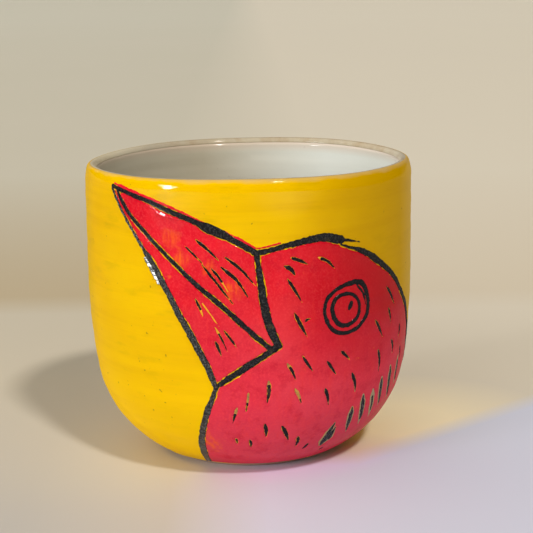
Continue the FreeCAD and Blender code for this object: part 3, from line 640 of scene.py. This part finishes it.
def table_look():
    """Pale table top, with a warmer ground beyond its far edge.

    It carries painted light: greyer in front and warmer further back, paler towards the right, a
    painted pool of warm bounce light beside the cup, and painted cool light in front of a painted
    shadow edge along a slanting line that starts on the cup's right, with a painted lilac shadow
    close to the foot there.
    """
    look = Look("table", roughness=0.6)
    x, y, _ = look.split()
    # Painted light: greyer and darker in front, warmer and brighter further back.
    tone = look.mix(look.steps(y, -0.06, 0.06), rgb(0.52, 0.505, 0.475), rgb(0.63, 0.57, 0.45))
    wall = look.mix(look.steps(y, 0.18, 0.55), rgb(0.55, 0.45, 0.29), rgb(0.66, 0.62, 0.50))
    wall = look.tint(wall, (0.68, 0.66, 0.55), y, 0.6, 3.5)
    tone = look.mix(look.steps(y, TABLE_EDGE, 0.190), tone, wall)
    # Painted light: the table is paler towards the right.
    tone = look.tint(tone, (0.88, 0.80, 0.66), x, -0.06, 0.05, 0.0, 0.55)
    # Painted light: a pool of warm bounce light beside the cup.
    tone = look.mix(look.near_point(BOUNCE_LIGHT_SPOT, 0.015, 0.050), tone, rgb(1.0, 0.88, 0.62))
    # Painted light and shadow: cool light in front of a slanting shadow edge from the cup's right,
    # and a lilac painted shadow near the foot.
    line = look.maths("MAXIMUM", look.maths("MULTIPLY_ADD", x, 0.86, -0.0446), -0.019)
    before = look.steps(look.maths("SUBTRACT", y, line), -0.006, 0.006, 1.0, 0.0)
    share = look.maths("MULTIPLY", before, look.steps(x, -0.022, 0.004))
    share = look.maths("MULTIPLY", share, look.near_point((0.0, 0.0, 0.0), 0.11, 0.24))
    lilac = look.near_point(FOOT_SHADOW_SPOT, 0.025, 0.038)
    cool = look.mix(lilac, rgb(0.70, 0.73, 0.88), rgb(0.77, 0.71, 0.96))
    tone = look.mix(share, tone, cool)
    cloud = look.noise(3.0, 3.0)
    tone = look.tint(tone, (0.75, 0.68, 0.60), cloud, 0.35, 0.75, 0.0, 0.12)
    look.link(tone, look.shader["Base Color"])
    return look.material


# ------------------------ camera, floor and light

CAMERA_PLACE = (0.0, -0.400, 0.136)
CAMERA_TURN = (11.915, 0.704, 0.708)
LENS = 95.8


def add_camera():
    """In front of the cup and a little above its lip."""
    data = bpy.data.cameras.new("camera")
    data.sensor_width = 36.0
    data.lens = LENS
    camera = bpy.data.objects.new("camera", data)
    bpy.context.scene.collection.objects.link(camera)
    pitch, yaw, roll = (math.radians(value) for value in CAMERA_TURN)
    ahead = Vector((math.sin(yaw) * math.cos(pitch), math.cos(yaw) * math.cos(pitch),
                    -math.sin(pitch)))
    side = Vector((math.cos(yaw), -math.sin(yaw), 0.0))
    up = side.cross(ahead)
    right = side * math.cos(roll) - up * math.sin(roll)
    top = side * math.sin(roll) + up * math.cos(roll)
    turned = Matrix((right, top, -ahead)).transposed().to_4x4()
    camera.matrix_world = Matrix.Translation(CAMERA_PLACE) @ turned
    bpy.context.scene.camera = camera


def add_floor():
    """A table top out to the horizon."""
    size = 12.0
    mesh = bpy.data.meshes.new("floor")
    corners = [(-size, -size, 0), (size, -size, 0), (size, size, 0), (-size, size, 0)]
    mesh.from_pydata(corners, [], [(0, 1, 2, 3)])
    mesh.materials.append(table_look())
    floor = bpy.data.objects.new("floor", mesh)
    bpy.context.scene.collection.objects.link(floor)


def add_sun(name, azimuth, elevation, share, width, colour, mirrored=True):
    """Even light: share is what it adds to a white surface that faces it.

    Azimuth 0 is in front of the cup and grows to the right. Angles are in degrees.
    """
    data = bpy.data.lights.new(name, "SUN")
    data.energy = share * math.pi
    data.angle = math.radians(width)
    data.color = colour
    sun = bpy.data.objects.new(name, data)
    sun.visible_glossy = mirrored
    across, up = math.radians(azimuth), math.radians(elevation)
    source = Vector((math.sin(across) * math.cos(up), -math.cos(across) * math.cos(up),
                     math.sin(up)))
    sun.rotation_euler = (-source).to_track_quat("-Z", "Y").to_euler()
    bpy.context.scene.collection.objects.link(sun)


def add_world():
    """Soft room light, brighter on the left than on the right, that the gloss doesn't mirror."""
    world = bpy.data.worlds.new("studio")
    world.use_nodes = True
    tree = Tree(world.node_tree, "Generated")
    across = tree.split()[0]
    background = world.node_tree.nodes["Background"].inputs
    tree.link(rgb(1.0, 0.94, 0.84), background["Color"])
    tree.link(tree.steps(across, -0.5, 0.45, 0.78, 0.06), background["Strength"])
    world.cycles_visibility.glossy = False
    bpy.context.scene.world = world


# Lights are (azimuth, elevation, share, width); the window is made of several.
PANES = ((-62.5, 14.0, 0.03, 4.5), (-57.0, 13.6, 0.13, 6.5), (-56.5, 7.0, 0.12, 7.0),
         (-51.0, 12.0, 0.03, 4.5))
SOFT_FRONT = (-28.0, 24.0, 0.25, 40.0)
CEILING = (28.7, 49.7, 0.50, 6.0)


def add_light():
    """A low window on the left, soft light in front, and a ceiling lamp on the right."""
    add_world()
    for number, pane in enumerate(PANES):
        add_sun("window_%d" % number, *pane, (0.97, 0.99, 1.0))
    add_sun("soft_front", *SOFT_FRONT, (1.0, 0.98, 0.96), mirrored=False)
    add_sun("ceiling", *CEILING, (1.0, 0.95, 0.90))
    bpy.context.scene.view_settings.view_transform = "Standard"


# ------------------------ clay, coats and glaze


def make_clay(material):
    """The wall, floor and trimmed foot ring, one coat thinner than the cup on each side."""
    outer = [outside(run, -COAT) for run in np.linspace(COAT_RUN + 0.3, FULL_RUN, 60)]
    profile = [(0.0, FOOT_RECESS)]
    profile += [(r, FOOT_RECESS) for r in (8.0, 15.0, FOOT_INNER - 0.5)]
    profile += [(FOOT_INNER - 0.1, FOOT_RECESS - 0.3), (FOOT_INNER + 0.1, 0.4),
                (FOOT_INNER + 0.5, 0.05), (FOOT_INNER + 1.2, 0.0), (FOOT_OUTER - 1.5, 0.0),
                (FOOT_OUTER - 0.6, 0.08), (FOOT_OUTER - 0.1, 0.5), (FOOT_OUTER + 0.2, 1.0)]
    profile += outer
    profile += arc_points(LIP_CENTRE, LIP_RADIUS - COAT, LIP_ANGLE + 0.1, math.pi, 10)
    profile += [(INNER_WALL + COAT, z) for z in np.linspace(LIP_CENTRE[1] - 1.0, STRAIGHT_FROM, 12)]
    profile += inside_points(COAT)[::-1]
    lathe("clay", profile, 160, material, ["clay_body"])


def inside_points(inset):
    """From the floor's middle up to where the inside wall turns upright."""
    height = FLOOR_HEIGHT + INNER_BELLY_RADIUS
    drop = STRAIGHT_FROM - height
    reach = INNER_BOW_RADIUS - INNER_BELLY_RADIUS
    bow_x = INNER_WALL - INNER_BOW_RADIUS
    side = bow_x + math.sqrt(reach ** 2 - drop ** 2)
    turn = math.asin(drop / reach)
    points = [(0.0, FLOOR_HEIGHT - inset)]
    points += [(r, FLOOR_HEIGHT - inset) for r in np.linspace(1.5, side - 0.5, 7)]
    points += arc_points((side, height), INNER_BELLY_RADIUS + inset, -math.pi / 2, -turn, 48)
    points += arc_points((bow_x, STRAIGHT_FROM), INNER_BOW_RADIUS + inset, -turn, 0.0, 20)[1:]
    return points


def make_liner(material):
    """The white glaze over the whole inside, up to the lip."""
    outer = INNER_WALL + COAT
    profile = inside_points(0.0)
    profile += [(INNER_WALL, z) for z in np.linspace(STRAIGHT_FROM + 1.0, LIP_CENTRE[1], 34)]
    profile += [(outer, LIP_CENTRE[1])]
    profile += [(outer, z) for z in np.linspace(LIP_CENTRE[1] - 3.0, STRAIGHT_FROM + 1.0, 6)]
    profile += inside_points(COAT)[::-3]
    profile += [(0.0, FLOOR_HEIGHT - COAT)]
    lathe("liner", profile, 240, material, ["liner_glaze"])


def make_lip(material):
    """The thin glaze over the lip, from the end of the yellow coat to the inside wall."""
    start = math.radians(66.0)
    profile = arc_points(LIP_CENTRE, LIP_RADIUS - 0.03, start, math.pi, 12)
    profile += arc_points(LIP_CENTRE, LIP_RADIUS - COAT, math.pi, start, 6)
    lathe("lip", profile, 320, material, ["lip_glaze"])


def make_coat(material):
    """The coat ends in a soft, slightly wavy bead above the foot, and thinly on top of the lip."""
    face = [outside(run) for run in np.linspace(COAT_RUN + 0.9, FULL_RUN, 190)]
    end = math.radians(74.0)
    lip = arc_points(LIP_CENTRE, LIP_RADIUS, LIP_ANGLE, end, 7)[1:]
    lip += arc_points(LIP_CENTRE, LIP_RADIUS - COAT, end, LIP_ANGLE, 4)
    back = [outside(run, -COAT) for run in np.linspace(FULL_RUN - 1.0, COAT_RUN + 0.5, 15)]
    bead = [outside(COAT_RUN + run, proud) for run, proud in
            ((0.15, -COAT), (-0.05, -0.25), (0.0, 0.0), (0.3, 0.1), (0.6, 0.06))]
    profile = bead + face + lip + back
    hem = len(profile) - 4
    wavy_rows = 24.0

    def wave(index, angle):
        share = max(0.0, 1.0 - index / wavy_rows) if index < hem else 1.0
        return share * 0.18 * (np.sin(3.0 * angle + 1.0) + 0.7 * np.sin(8.0 * angle))

    lathe("coat", profile, 384, material, ["yellow_coat"], wave)


# ------------------------ the drawn bird
# Points are (angle in degrees, run in mm), and widths are (share of the length, mm).

JOINT = (2.4, 73.9)
CORNER = (9.2, 49.2)
CHIN = (-11.9, 37.8)

BEAK_TOP = Line(
    [(-50.3, 89.6), (-41.8, 88.2), (-33.3, 86.6), (-25.8, 84.4), (-18.9, 82.5),
     (-14.0, 80.7), (-9.0, 79.0), (-2.9, 76.3), JOINT],
    [(0.0, 1.1), (0.08, 1.2), (0.5, 1.4), (0.62, 1.5), (0.68, 2.6), (0.76, 2.5), (0.84, 1.6),
     (1.0, 1.6)])
MOUTH = Line(
    [(-48.2, 89.2), (-45.7, 86.2), (-41.0, 82.0), (-36.0, 78.7), (-29.9, 74.5), (-23.0, 69.6),
     (-16.4, 65.0), (-9.6, 60.5), (-3.3, 55.8), (2.4, 51.4), (6.8, 48.2)],
    [(0.0, 0.7), (0.07, 1.2), (0.16, 1.1), (0.35, 1.05), (0.6, 1.3), (0.9, 1.4), (1.0, 1.3)])
BEAK_BOTTOM = Line(
    [(-50.4, 88.9), (-46.9, 84.8), (-42.5, 80.0), (-38.4, 76.0), (-34.0, 71.3), (-30.2, 66.8),
     (-26.6, 62.0), (-23.4, 57.2), (-20.0, 52.4), (-17.0, 47.7), (-14.5, 43.4), CHIN],
    [(0.0, 0.7), (0.2, 0.7), (0.31, 0.9), (0.35, 1.9), (0.42, 2.1), (0.55, 1.6), (0.72, 1.9),
     (0.9, 1.8), (1.0, 1.4)], ragged=0.12)
BEAK_BASE = Line(
    [JOINT, (2.7, 71.0), (3.6, 65.7), (4.5, 60.4), (5.7, 55.8), (7.5, 52.0), CORNER],
    [(0.0, 1.5), (0.12, 1.2), (0.28, 1.8), (0.5, 2.2), (0.8, 2.3), (1.0, 1.9)], ragged=0.12)
JAW = Line(
    [CORNER, (3.7, 46.3), (-1.0, 43.9), (-5.3, 41.5), (-9.4, 39.3), CHIN],
    [(0.0, 1.9), (0.2, 1.4), (0.5, 1.9), (0.8, 1.5), (1.0, 1.0)], ragged=0.15)
THROAT = Line(
    [CHIN, (-13.6, 34.1), (-15.8, 30.2), (-17.8, 25.8), (-20.1, 20.5), (-21.7, 15.5),
     (-23.4, 9.4), (-25.6, 4.4)],
    [(0.0, 1.2), (0.2, 1.6), (0.5, 1.8), (0.75, 2.0), (1.0, 1.4)], ragged=0.13)
CROWN_FRONT = Line(
    [JOINT, (6.6, 74.5), (11.4, 75.5), (16.4, 76.2), (21.5, 76.9), (26.0, 76.9), (30.5, 76.0),
     (34.2, 75.5), (38.8, 74.6)],
    [(0.0, 1.5), (0.15, 1.3), (0.35, 1.6), (0.58, 2.2), (0.68, 2.5), (0.79, 2.2), (0.83, 0.9),
     (1.0, 0.15)], ragged=0.13)
CROWN_BACK = Line(
    [(31.2, 74.6), (35.2, 73.4), (38.8, 72.4), (43.6, 70.6), (48.9, 67.9), (54.4, 65.0),
     (59.0, 61.8), (63.8, 58.0), (69.5, 53.0), (74.3, 47.8), (77.4, 42.5)],
    [(0.0, 0.6), (0.08, 0.8), (0.15, 1.5), (0.25, 1.9), (0.4, 1.5), (0.6, 1.3), (1.0, 1.2)],
    ragged=0.13)
NAPE = Line(
    [(77.4, 42.5), (80.6, 39.0), (84.0, 34.5), (86.5, 29.0), (87.0, 22.5), (84.5, 15.5),
     (80.6, 9.5), (77.8, 4.6)],
    [(0.0, 1.2), (0.5, 1.7), (1.0, 1.3)], ragged=0.13)
LINES = [BEAK_TOP, MOUTH, BEAK_BOTTOM, BEAK_BASE, JAW, THROAT, CROWN_FRONT, CROWN_BACK, NAPE]

EYE_OUTER = Line(
    [(24.8, 57.8), (25.7, 60.6), (28.4, 62.5), (31.6, 63.5), (35.5, 64.1), (39.3, 63.7),
     (41.6, 61.2), (42.7, 57.8), (42.2, 54.9), (39.4, 52.3), (35.5, 50.9), (31.0, 50.9),
     (27.4, 52.5), (25.4, 55.2)],
    [(0.0, 1.1), (0.2, 1.1), (0.33, 1.6), (0.42, 1.4), (0.6, 1.2), (0.8, 1.3), (1.0, 1.1)],
    closed=True)
EYE_EXTRA = Line([(37.4, 63.3), (40.1, 60.8), (41.6, 57.4)], [(0.0, 0.5), (0.4, 0.8), (1.0, 0.3)])
EYE_INNER = Line(
    [(27.6, 57.6), (28.7, 60.1), (31.2, 61.2), (34.8, 61.1), (37.6, 59.6), (38.7, 57.2),
     (38.0, 54.8), (35.6, 53.2), (32.2, 52.8), (29.1, 54.3)],
    [(0.0, 1.35), (0.3, 1.0), (0.55, 1.1), (0.8, 1.35), (1.0, 1.35)], closed=True)
PUPIL = Line([(35.1, 58.6), (34.8, 57.9), (34.4, 57.3)], [(0.0, 1.2), (0.5, 1.4), (1.0, 1.1)])


def stroke(start, middle, end, width, black=(0.0, 1.0), core=0.95):
    """A feather mark: the scratch through the red, and the black that lies in part of it."""
    points = [start, middle, end]
    width *= 1.18
    scratch = Line(points, [(0.0, 0.35 * width), (0.2, width), (0.6, 0.8 * width), (1.0, 0.15)],
                   ragged=0.06)
    fill = Line(points, [(0.0, 0.3 * core * width), (0.2, core * width), (0.6, 0.8 * core * width),
                         (1.0, 0.1)], ragged=0.07)
    last = len(fill.path) - 1
    low = int(black[0] * last)
    high = max(low + 2, int(math.ceil(black[1] * last)) + 1)
    fill.shares = [(share * last - low) / (high - 1 - low) for share in fill.shares]
    fill.path = fill.path[low:high]
    return scratch, fill


def strokes(*rows):
    return [stroke(*row) for row in rows]


UPPER_BEAK = strokes(
    ((-17.0, 77.3), (-13.3, 74.9), (-9.8, 72.1), 0.8),
    ((-20.8, 75.6), (-18.0, 73.5), (-14.9, 71.1), 0.5),
    ((-15.2, 70.8), (-10.4, 66.0), (-5.4, 60.7), 0.65),
    ((-12.3, 70.0), (-9.6, 67.4), (-7.0, 64.0), 0.6, (0.0, 0.6)),
    ((-9.0, 70.3), (-4.0, 66.8), (-0.3, 62.1), 0.85),
    ((-7.6, 72.9), (-2.6, 69.6), (1.8, 65.4), 0.7),
)
LOWER_BEAK = strokes(
    ((-17.8, 61.9), (-16.3, 59.6), (-15.1, 56.9), 0.7, (0.0, 0.55)),
    ((-15.4, 60.7), (-12.9, 58.0), (-10.0, 54.6), 0.38, (0.97, 1.0)),
    ((-8.4, 53.5), (-6.4, 51.3), (-4.4, 48.9), 0.65, (0.0, 0.75)),
    ((-11.4, 54.5), (-9.3, 51.2), (-7.5, 47.9), 0.5, (0.35, 1.0)),
    ((-11.4, 50.5), (-10.4, 48.6), (-9.4, 46.3), 0.8),
)
CROWN_MARKS = strokes(
    ((13.2, 72.4), (16.2, 71.5), (19.2, 70.2), 0.9, (0.12, 1.0)),
    ((22.6, 71.9), (26.0, 70.6), (28.9, 68.3), 0.75, (0.2, 1.0)),
    ((11.2, 70.2), (13.2, 69.4), (14.9, 67.4), 1.05, (0.12, 1.0)),
    ((12.2, 66.8), (14.6, 63.6), (17.1, 60.2), 0.85, (0.0, 0.95)),
)
CHEEK_MARKS = strokes(
    ((14.4, 57.7), (16.3, 54.6), (18.8, 51.0), 0.95),
    ((18.0, 55.2), (18.8, 55.8), (19.9, 55.8), 0.6, (0.0, 0.9)),
    ((31.6, 45.8), (33.2, 44.7), (35.4, 43.0), 0.8),
    ((17.2, 45.9), (19.1, 43.6), (21.4, 41.0), 0.7),
    ((26.4, 43.5), (28.1, 41.6), (30.3, 39.2), 0.8),
    ((37.0, 38.9), (38.8, 36.0), (39.6, 32.8), 0.95),
)
NAPE_MARKS = strokes(
    ((53.0, 60.6), (56.2, 57.8), (59.0, 54.3), 0.85),
    ((54.4, 54.6), (55.9, 52.2), (57.0, 49.6), 0.75),
    ((46.9, 52.2), (49.4, 49.7), (51.8, 46.7), 0.9),
    ((64.6, 48.2), (64.9, 46.4), (64.6, 44.5), 0.8, (0.0, 0.8)),
    ((58.1, 44.9), (59.7, 43.0), (60.4, 40.4), 0.8, (0.0, 0.8)),
    ((49.6, 43.4), (51.2, 40.4), (51.4, 36.8), 0.9),
    ((68.0, 41.4), (69.2, 38.6), (69.6, 36.4), 0.8, (0.2, 0.9)),
)
NECK_MARKS = strokes(
    ((12.0, 44.2), (14.0, 41.6), (15.2, 39.2), 0.75, (0.35, 1.0)),
    ((15.0, 36.8), (16.5, 34.6), (17.6, 32.2), 0.75, (0.7, 0.95)),
    ((26.1, 35.9), (27.4, 33.4), (28.2, 30.7), 0.9),
    ((5.9, 39.6), (5.9, 36.0), (5.3, 33.0), 0.95, (0.3, 1.0)),
    ((-0.9, 36.6), (-1.3, 33.7), (-1.9, 30.7), 0.6, (0.55, 1.0)),
    ((-5.0, 31.9), (-6.0, 29.3), (-6.8, 26.9), 0.75, (0.5, 1.0)),
    ((4.8, 26.6), (5.3, 24.2), (5.4, 21.7), 0.95),
    ((11.2, 25.4), (13.2, 22.4), (14.6, 19.4), 1.0),
    ((18.4, 20.7), (18.9, 18.6), (18.7, 16.3), 0.9),
    ((-6.2, 21.4), (-5.9, 20.2), (-6.0, 18.8), 0.6, (0.3, 0.9)),
    ((-0.8, 20.6), (-0.4, 19.0), (-0.5, 17.3), 0.75),
    ((24.3, 16.8), (23.8, 15.4), (22.8, 13.9), 0.8),
    ((35.2, 12.4), (34.6, 11.4), (34.2, 10.6), 0.6),
)
GROOVES = strokes(
    ((32.0, 14.4), (32.4, 19.5), (33.6, 24.4), 2.8, (0.0, 0.92), 0.66),
    ((34.6, 16.4), (34.4, 19.4), (34.8, 22.4), 1.8, (0.1, 0.9), 0.6),
    ((39.8, 28.0), (40.8, 23.6), (42.9, 18.2), 1.9, (0.05, 0.85), 0.7),
    ((44.4, 31.2), (46.1, 26.1), (49.4, 19.6), 1.9, (0.05, 0.75), 0.7),
    ((49.8, 31.8), (51.5, 27.2), (54.6, 21.5), 1.8, (0.28, 0.7), 0.5),
    ((54.4, 34.6), (55.6, 30.0), (58.4, 24.5), 1.8, (0.08, 0.85), 0.7),
    ((60.2, 36.8), (61.8, 31.2), (65.2, 25.5), 1.9, (0.05, 0.85), 0.7),
    ((67.2, 38.4), (67.4, 33.4), (69.6, 28.6), 1.8, (0.15, 0.75), 0.55),
)
MARGINS = [
    Line([(-49.6, 90.3), (-45.0, 89.6), (-37.6, 88.35), (-29.4, 86.5), (-22.3, 84.5), (-16.2, 82.5),
          (-13.4, 81.6)],
         [(0.0, 0.5), (0.1, 1.0), (0.4, 0.8), (0.8, 0.6), (1.0, 0.2)], ragged=0.12),
    Line([(-8.6, 79.95), (-4.4, 78.15), (0.0, 76.1), (2.6, 75.2), (7.2, 75.75), (10.0, 76.3)],
         [(0.0, 0.2), (0.3, 0.7), (0.6, 0.5), (1.0, 0.15)], ragged=0.15),
]

# A torn edge on the lower beak's line, and a bead of slip below the upper line.
TORN_EDGE = Line([(-35.9, 71.5), (-34.9, 70.5), (-33.4, 68.85), (-32.0, 67.1), (-30.7, 65.1)],
                 [(0.0, 0.4), (0.15, 0.8), (0.4, 0.7), (0.55, 1.0), (0.8, 0.9), (1.0, 0.3)],
                 ragged=0.12)
TORN_START = (-35.7, 71.4)
TORN_SLANT = 0.665
SCALE_LENGTH = 1.1
SCALE_SLOPE = 0.172
BEAD_MIDDLE = (-26.6, 83.9)
BEAD_WAY = (0.947, -0.32)
BEAD_WIDTHS = ((-3.6, 0.0), (-3.0, 1.1), (-0.5, 1.1), (1.0, 0.6), (3.3, 0.4), (3.6, 0.0))
BEAD_SLOPE = 0.21
BEAD_RIPPLE = 2.2


def line_relief(depth, angle, run):
    """A scratched line: a burr stands at each edge and drops steeply to a rough middle."""
    crest = 0.27 * (1.0 - np.exp(-depth / 0.05))
    drop = np.clip((depth - 0.13) / 0.13, 0.0, 1.0)
    drop = (0.14 + 0.05 * grain(angle, run, 1.7, 25.0)) * drop * drop * (3.0 - 2.0 * drop)
    return (0.02 + crest - drop + 0.015 * grain(angle, run, 0.5, 22.0)
            + 0.02 * grain(angle, run, 2.2, 21.0) * np.minimum(1.0, depth / 0.3))


def torn_relief(depth, angle, run):
    """The same, with an edge where the clay tore up into a row of small glazed scales."""
    distance, _ = to_path(angle, run, TORN_EDGE.path)
    share = np.clip((0.62 - distance) / 0.12, 0.0, 1.0)
    across = np.radians(angle - TORN_START[0]) * WALL_RADIUS - TORN_SLANT * (TORN_START[1] - run)
    drop = np.mod(run, SCALE_LENGTH)
    lean = 0.10 + 0.016 * (run - 68.3)
    scale = 0.10 + SCALE_SLOPE * (SCALE_LENGTH - drop) - lean * across
    return (1.0 - share) * line_relief(depth, angle, run) + share * scale


def pupil_relief(depth, angle, run):
    return 0.20 + 0.02 * grain(angle, run, 0.4, 26.0)


def stroke_relief(depth, angle, run):
    return 0.02 + 0.14 * (1.0 - np.exp(-depth / 0.15)) + 0.03 * grain(angle, run, 0.4, 23.0)


def film_relief(depth, angle, run):
    return 0.02 + 0.04 * (1.0 - np.exp(-depth / 0.15)) + 0.015 * grain(angle, run, 0.5, 24.0)


def red_relief(depth, angle, run):
    """A brushed layer, thicker where the slip pooled along its edges."""
    pool = 0.05 * np.exp(-((depth - 0.4) / 0.35) ** 2)
    return (0.015 + 0.11 * (1.0 - np.exp(-depth / 0.22)) + pool
            + 0.02 * grain(angle, run, 2.6, 31.0) * np.minimum(1.0, depth))


def beaded_relief(depth, angle, run):
    """The same, with slip that pooled into a ramp below the upper line near the tip."""
    x = np.radians(angle - BEAD_MIDDLE[0]) * WALL_RADIUS
    y = run - BEAD_MIDDLE[1]
    below = BEAD_WAY[1] * x - BEAD_WAY[0] * y
    along = BEAD_WAY[0] * x + BEAD_WAY[1] * y
    width = np.interp(along, *zip(*BEAD_WIDTHS))
    ripple = 0.05 * np.mod(along, BEAD_RIPPLE) * np.clip(4.0 * width, 0.0, 1.0)
    ramp = BEAD_SLOPE * np.clip(below, 0.0, width) + ripple
    ramp *= np.exp(-(np.maximum(0.0, below - width) / 0.5) ** 2) * np.clip(below / 0.1, 0.0, 1.0)
    share = np.clip(3.0 * width, 0.0, 1.0) * np.clip((width + 0.9 - below) / 0.4, 0.0, 1.0)
    base = share * 0.13 * np.clip(depth / 0.1, 0.0, 1.0)
    return (1.0 - share) * red_relief(depth, angle, run) + base + ramp


def draw_line(name, shapes, node, step, material, relief=line_relief):
    low = np.min([shape.reach()[0] for shape in shapes], axis=0)
    high = np.max([shape.reach()[1] for shape in shapes], axis=0)
    low[1] = max(low[1], COAT_RUN + 0.5)
    high[1] = min(high[1], FULL_RUN - 0.1)

    def field(angle, run):
        return union(shapes, angle, run)

    raise_shape(name, field, low, high, step, relief, material, [node])


def draw_red(name, ring, marks, node, step, material, hole=None, relief=red_relief):
    """A red field inside a ring of line centres, cut back from lines and marks."""
    low = ring.min(axis=0) - [1.5, 1.0]
    high = ring.max(axis=0) + [1.5, 1.0]
    low[1] = max(low[1], COAT_RUN + 0.2)
    scratches = [scratch for scratch, _ in marks]

    def field(angle, run):
        distance, _ = to_path(angle, run, ring, closed=True)
        value = np.where(inside_ring(angle, run, ring), -distance, distance)
        margin = 0.08 + 0.20 * grain(angle, run, 5.0, 41.0) + 0.10 * grain(angle, run, 1.3, 42.0)
        value = np.maximum(value, margin - union(LINES, angle, run))
        value = np.maximum(value, -0.25 - union([EYE_OUTER, EYE_EXTRA, EYE_INNER], angle, run))
        value = np.maximum(value, 0.02 + 0.04 * grain(angle, run, 1.6, 43.0)
                           - union(scratches, angle, run))
        if hole is not None:
            value = np.where(inside_ring(angle, run, hole), 0.3, value)
        bottom = COAT_RUN + 0.5 + 0.15 * grain(angle, run, 3.0, 44.0) - run
        return np.maximum(value, bottom)

    raise_shape(name, field, low, high, step, relief, material, [node])


def draw_bird():
    line = black_look("black_line", 0.06)
    # A lighter grey copy of the black: partly thin, worn black, partly painted light from the left.
    worn = black_look("black_line_worn_and_lit", 0.15, coat=0.9)
    mark = black_look("black_mark", 0.035)
    scraped = black_look("black_groove", 0.16)
    film = film_look()
    red = red_look()
    draw_line("beak_top", [BEAK_TOP], "beak_top_line", 0.11, line)
    draw_line("mouth", [MOUTH], "mouth_line", STEP, line)
    draw_line("beak_bottom", [BEAK_BOTTOM, TORN_EDGE], "beak_bottom_line", 0.08, worn, torn_relief)
    draw_line("beak_base", [BEAK_BASE], "beak_base_line", STEP, line)
    draw_line("jaw", [JAW], "jaw_line", STEP, line)
    draw_line("throat", [THROAT], "throat_line", STEP, worn)
    draw_line("crown", [CROWN_FRONT, CROWN_BACK], "crown_line", STEP, line)
    draw_line("nape", [NAPE], "nape_line", STEP, line)
    draw_line("eye_outer", [EYE_OUTER, EYE_EXTRA], "eye_outer_ring", STEP, mark)
    draw_line("eye_inner", [EYE_INNER], "eye_inner_ring", STEP, mark)
    draw_line("pupil_dash", [PUPIL], "pupil", 0.12, mark, pupil_relief)
    groups = (
        ("upper_beak_marks", UPPER_BEAK, "upper_beak_strokes"),
        ("lower_beak_marks", LOWER_BEAK, "lower_beak_strokes"),
        ("crown_marks", CROWN_MARKS, "crown_strokes"),
        ("cheek_marks", CHEEK_MARKS, "cheek_strokes"),
        ("nape_marks", NAPE_MARKS, "nape_strokes"),
        ("neck_marks", NECK_MARKS, "neck_strokes"),
        ("neck_groove_marks", GROOVES, "neck_grooves"),
    )
    for name, marks, node in groups:
        draw_line(name + "_floor", [scratch for scratch, _ in marks], node, 0.18, film,
                  film_relief)
        black = scraped if marks is GROOVES else mark
        draw_line(name, [fill for _, fill in marks], node, 0.18, black,
                  stroke_relief)
    upper = np.vstack([BEAK_TOP.path, BEAK_BASE.path, MOUTH.path[::-1]])
    lower = np.vstack([MOUTH.path, JAW.path, BEAK_BOTTOM.path[::-1]])
    crown = CROWN_FRONT.path[CROWN_FRONT.path[:, 0] < 28.0]
    head = np.vstack([crown, CROWN_BACK.path, NAPE.path, THROAT.path[::-1], JAW.path[::-1],
                      BEAK_BASE.path[::-1]])
    draw_red("upper_beak", upper, UPPER_BEAK, "red_upper_beak", 0.17, red, relief=beaded_relief)
    draw_red("lower_beak", lower, LOWER_BEAK, "red_lower_beak", 0.35, red)
    marks = CROWN_MARKS + CHEEK_MARKS + NAPE_MARKS + NECK_MARKS + GROOVES
    draw_red("head", head, marks, "red_head", 0.38, red, hole=EYE_OUTER.path)
    draw_red("eye", EYE_OUTER.path, [], "red_eye", 0.25, red)
    draw_line("beak_margin", MARGINS, "red_beak_margin", 0.2, red, stroke_relief)


def make_cup():
    make_clay(clay_look())
    make_liner(liner_look())
    make_lip(lip_look())
    make_coat(yellow_look())
    draw_bird()


add_camera()
add_floor()
add_light()
make_cup()
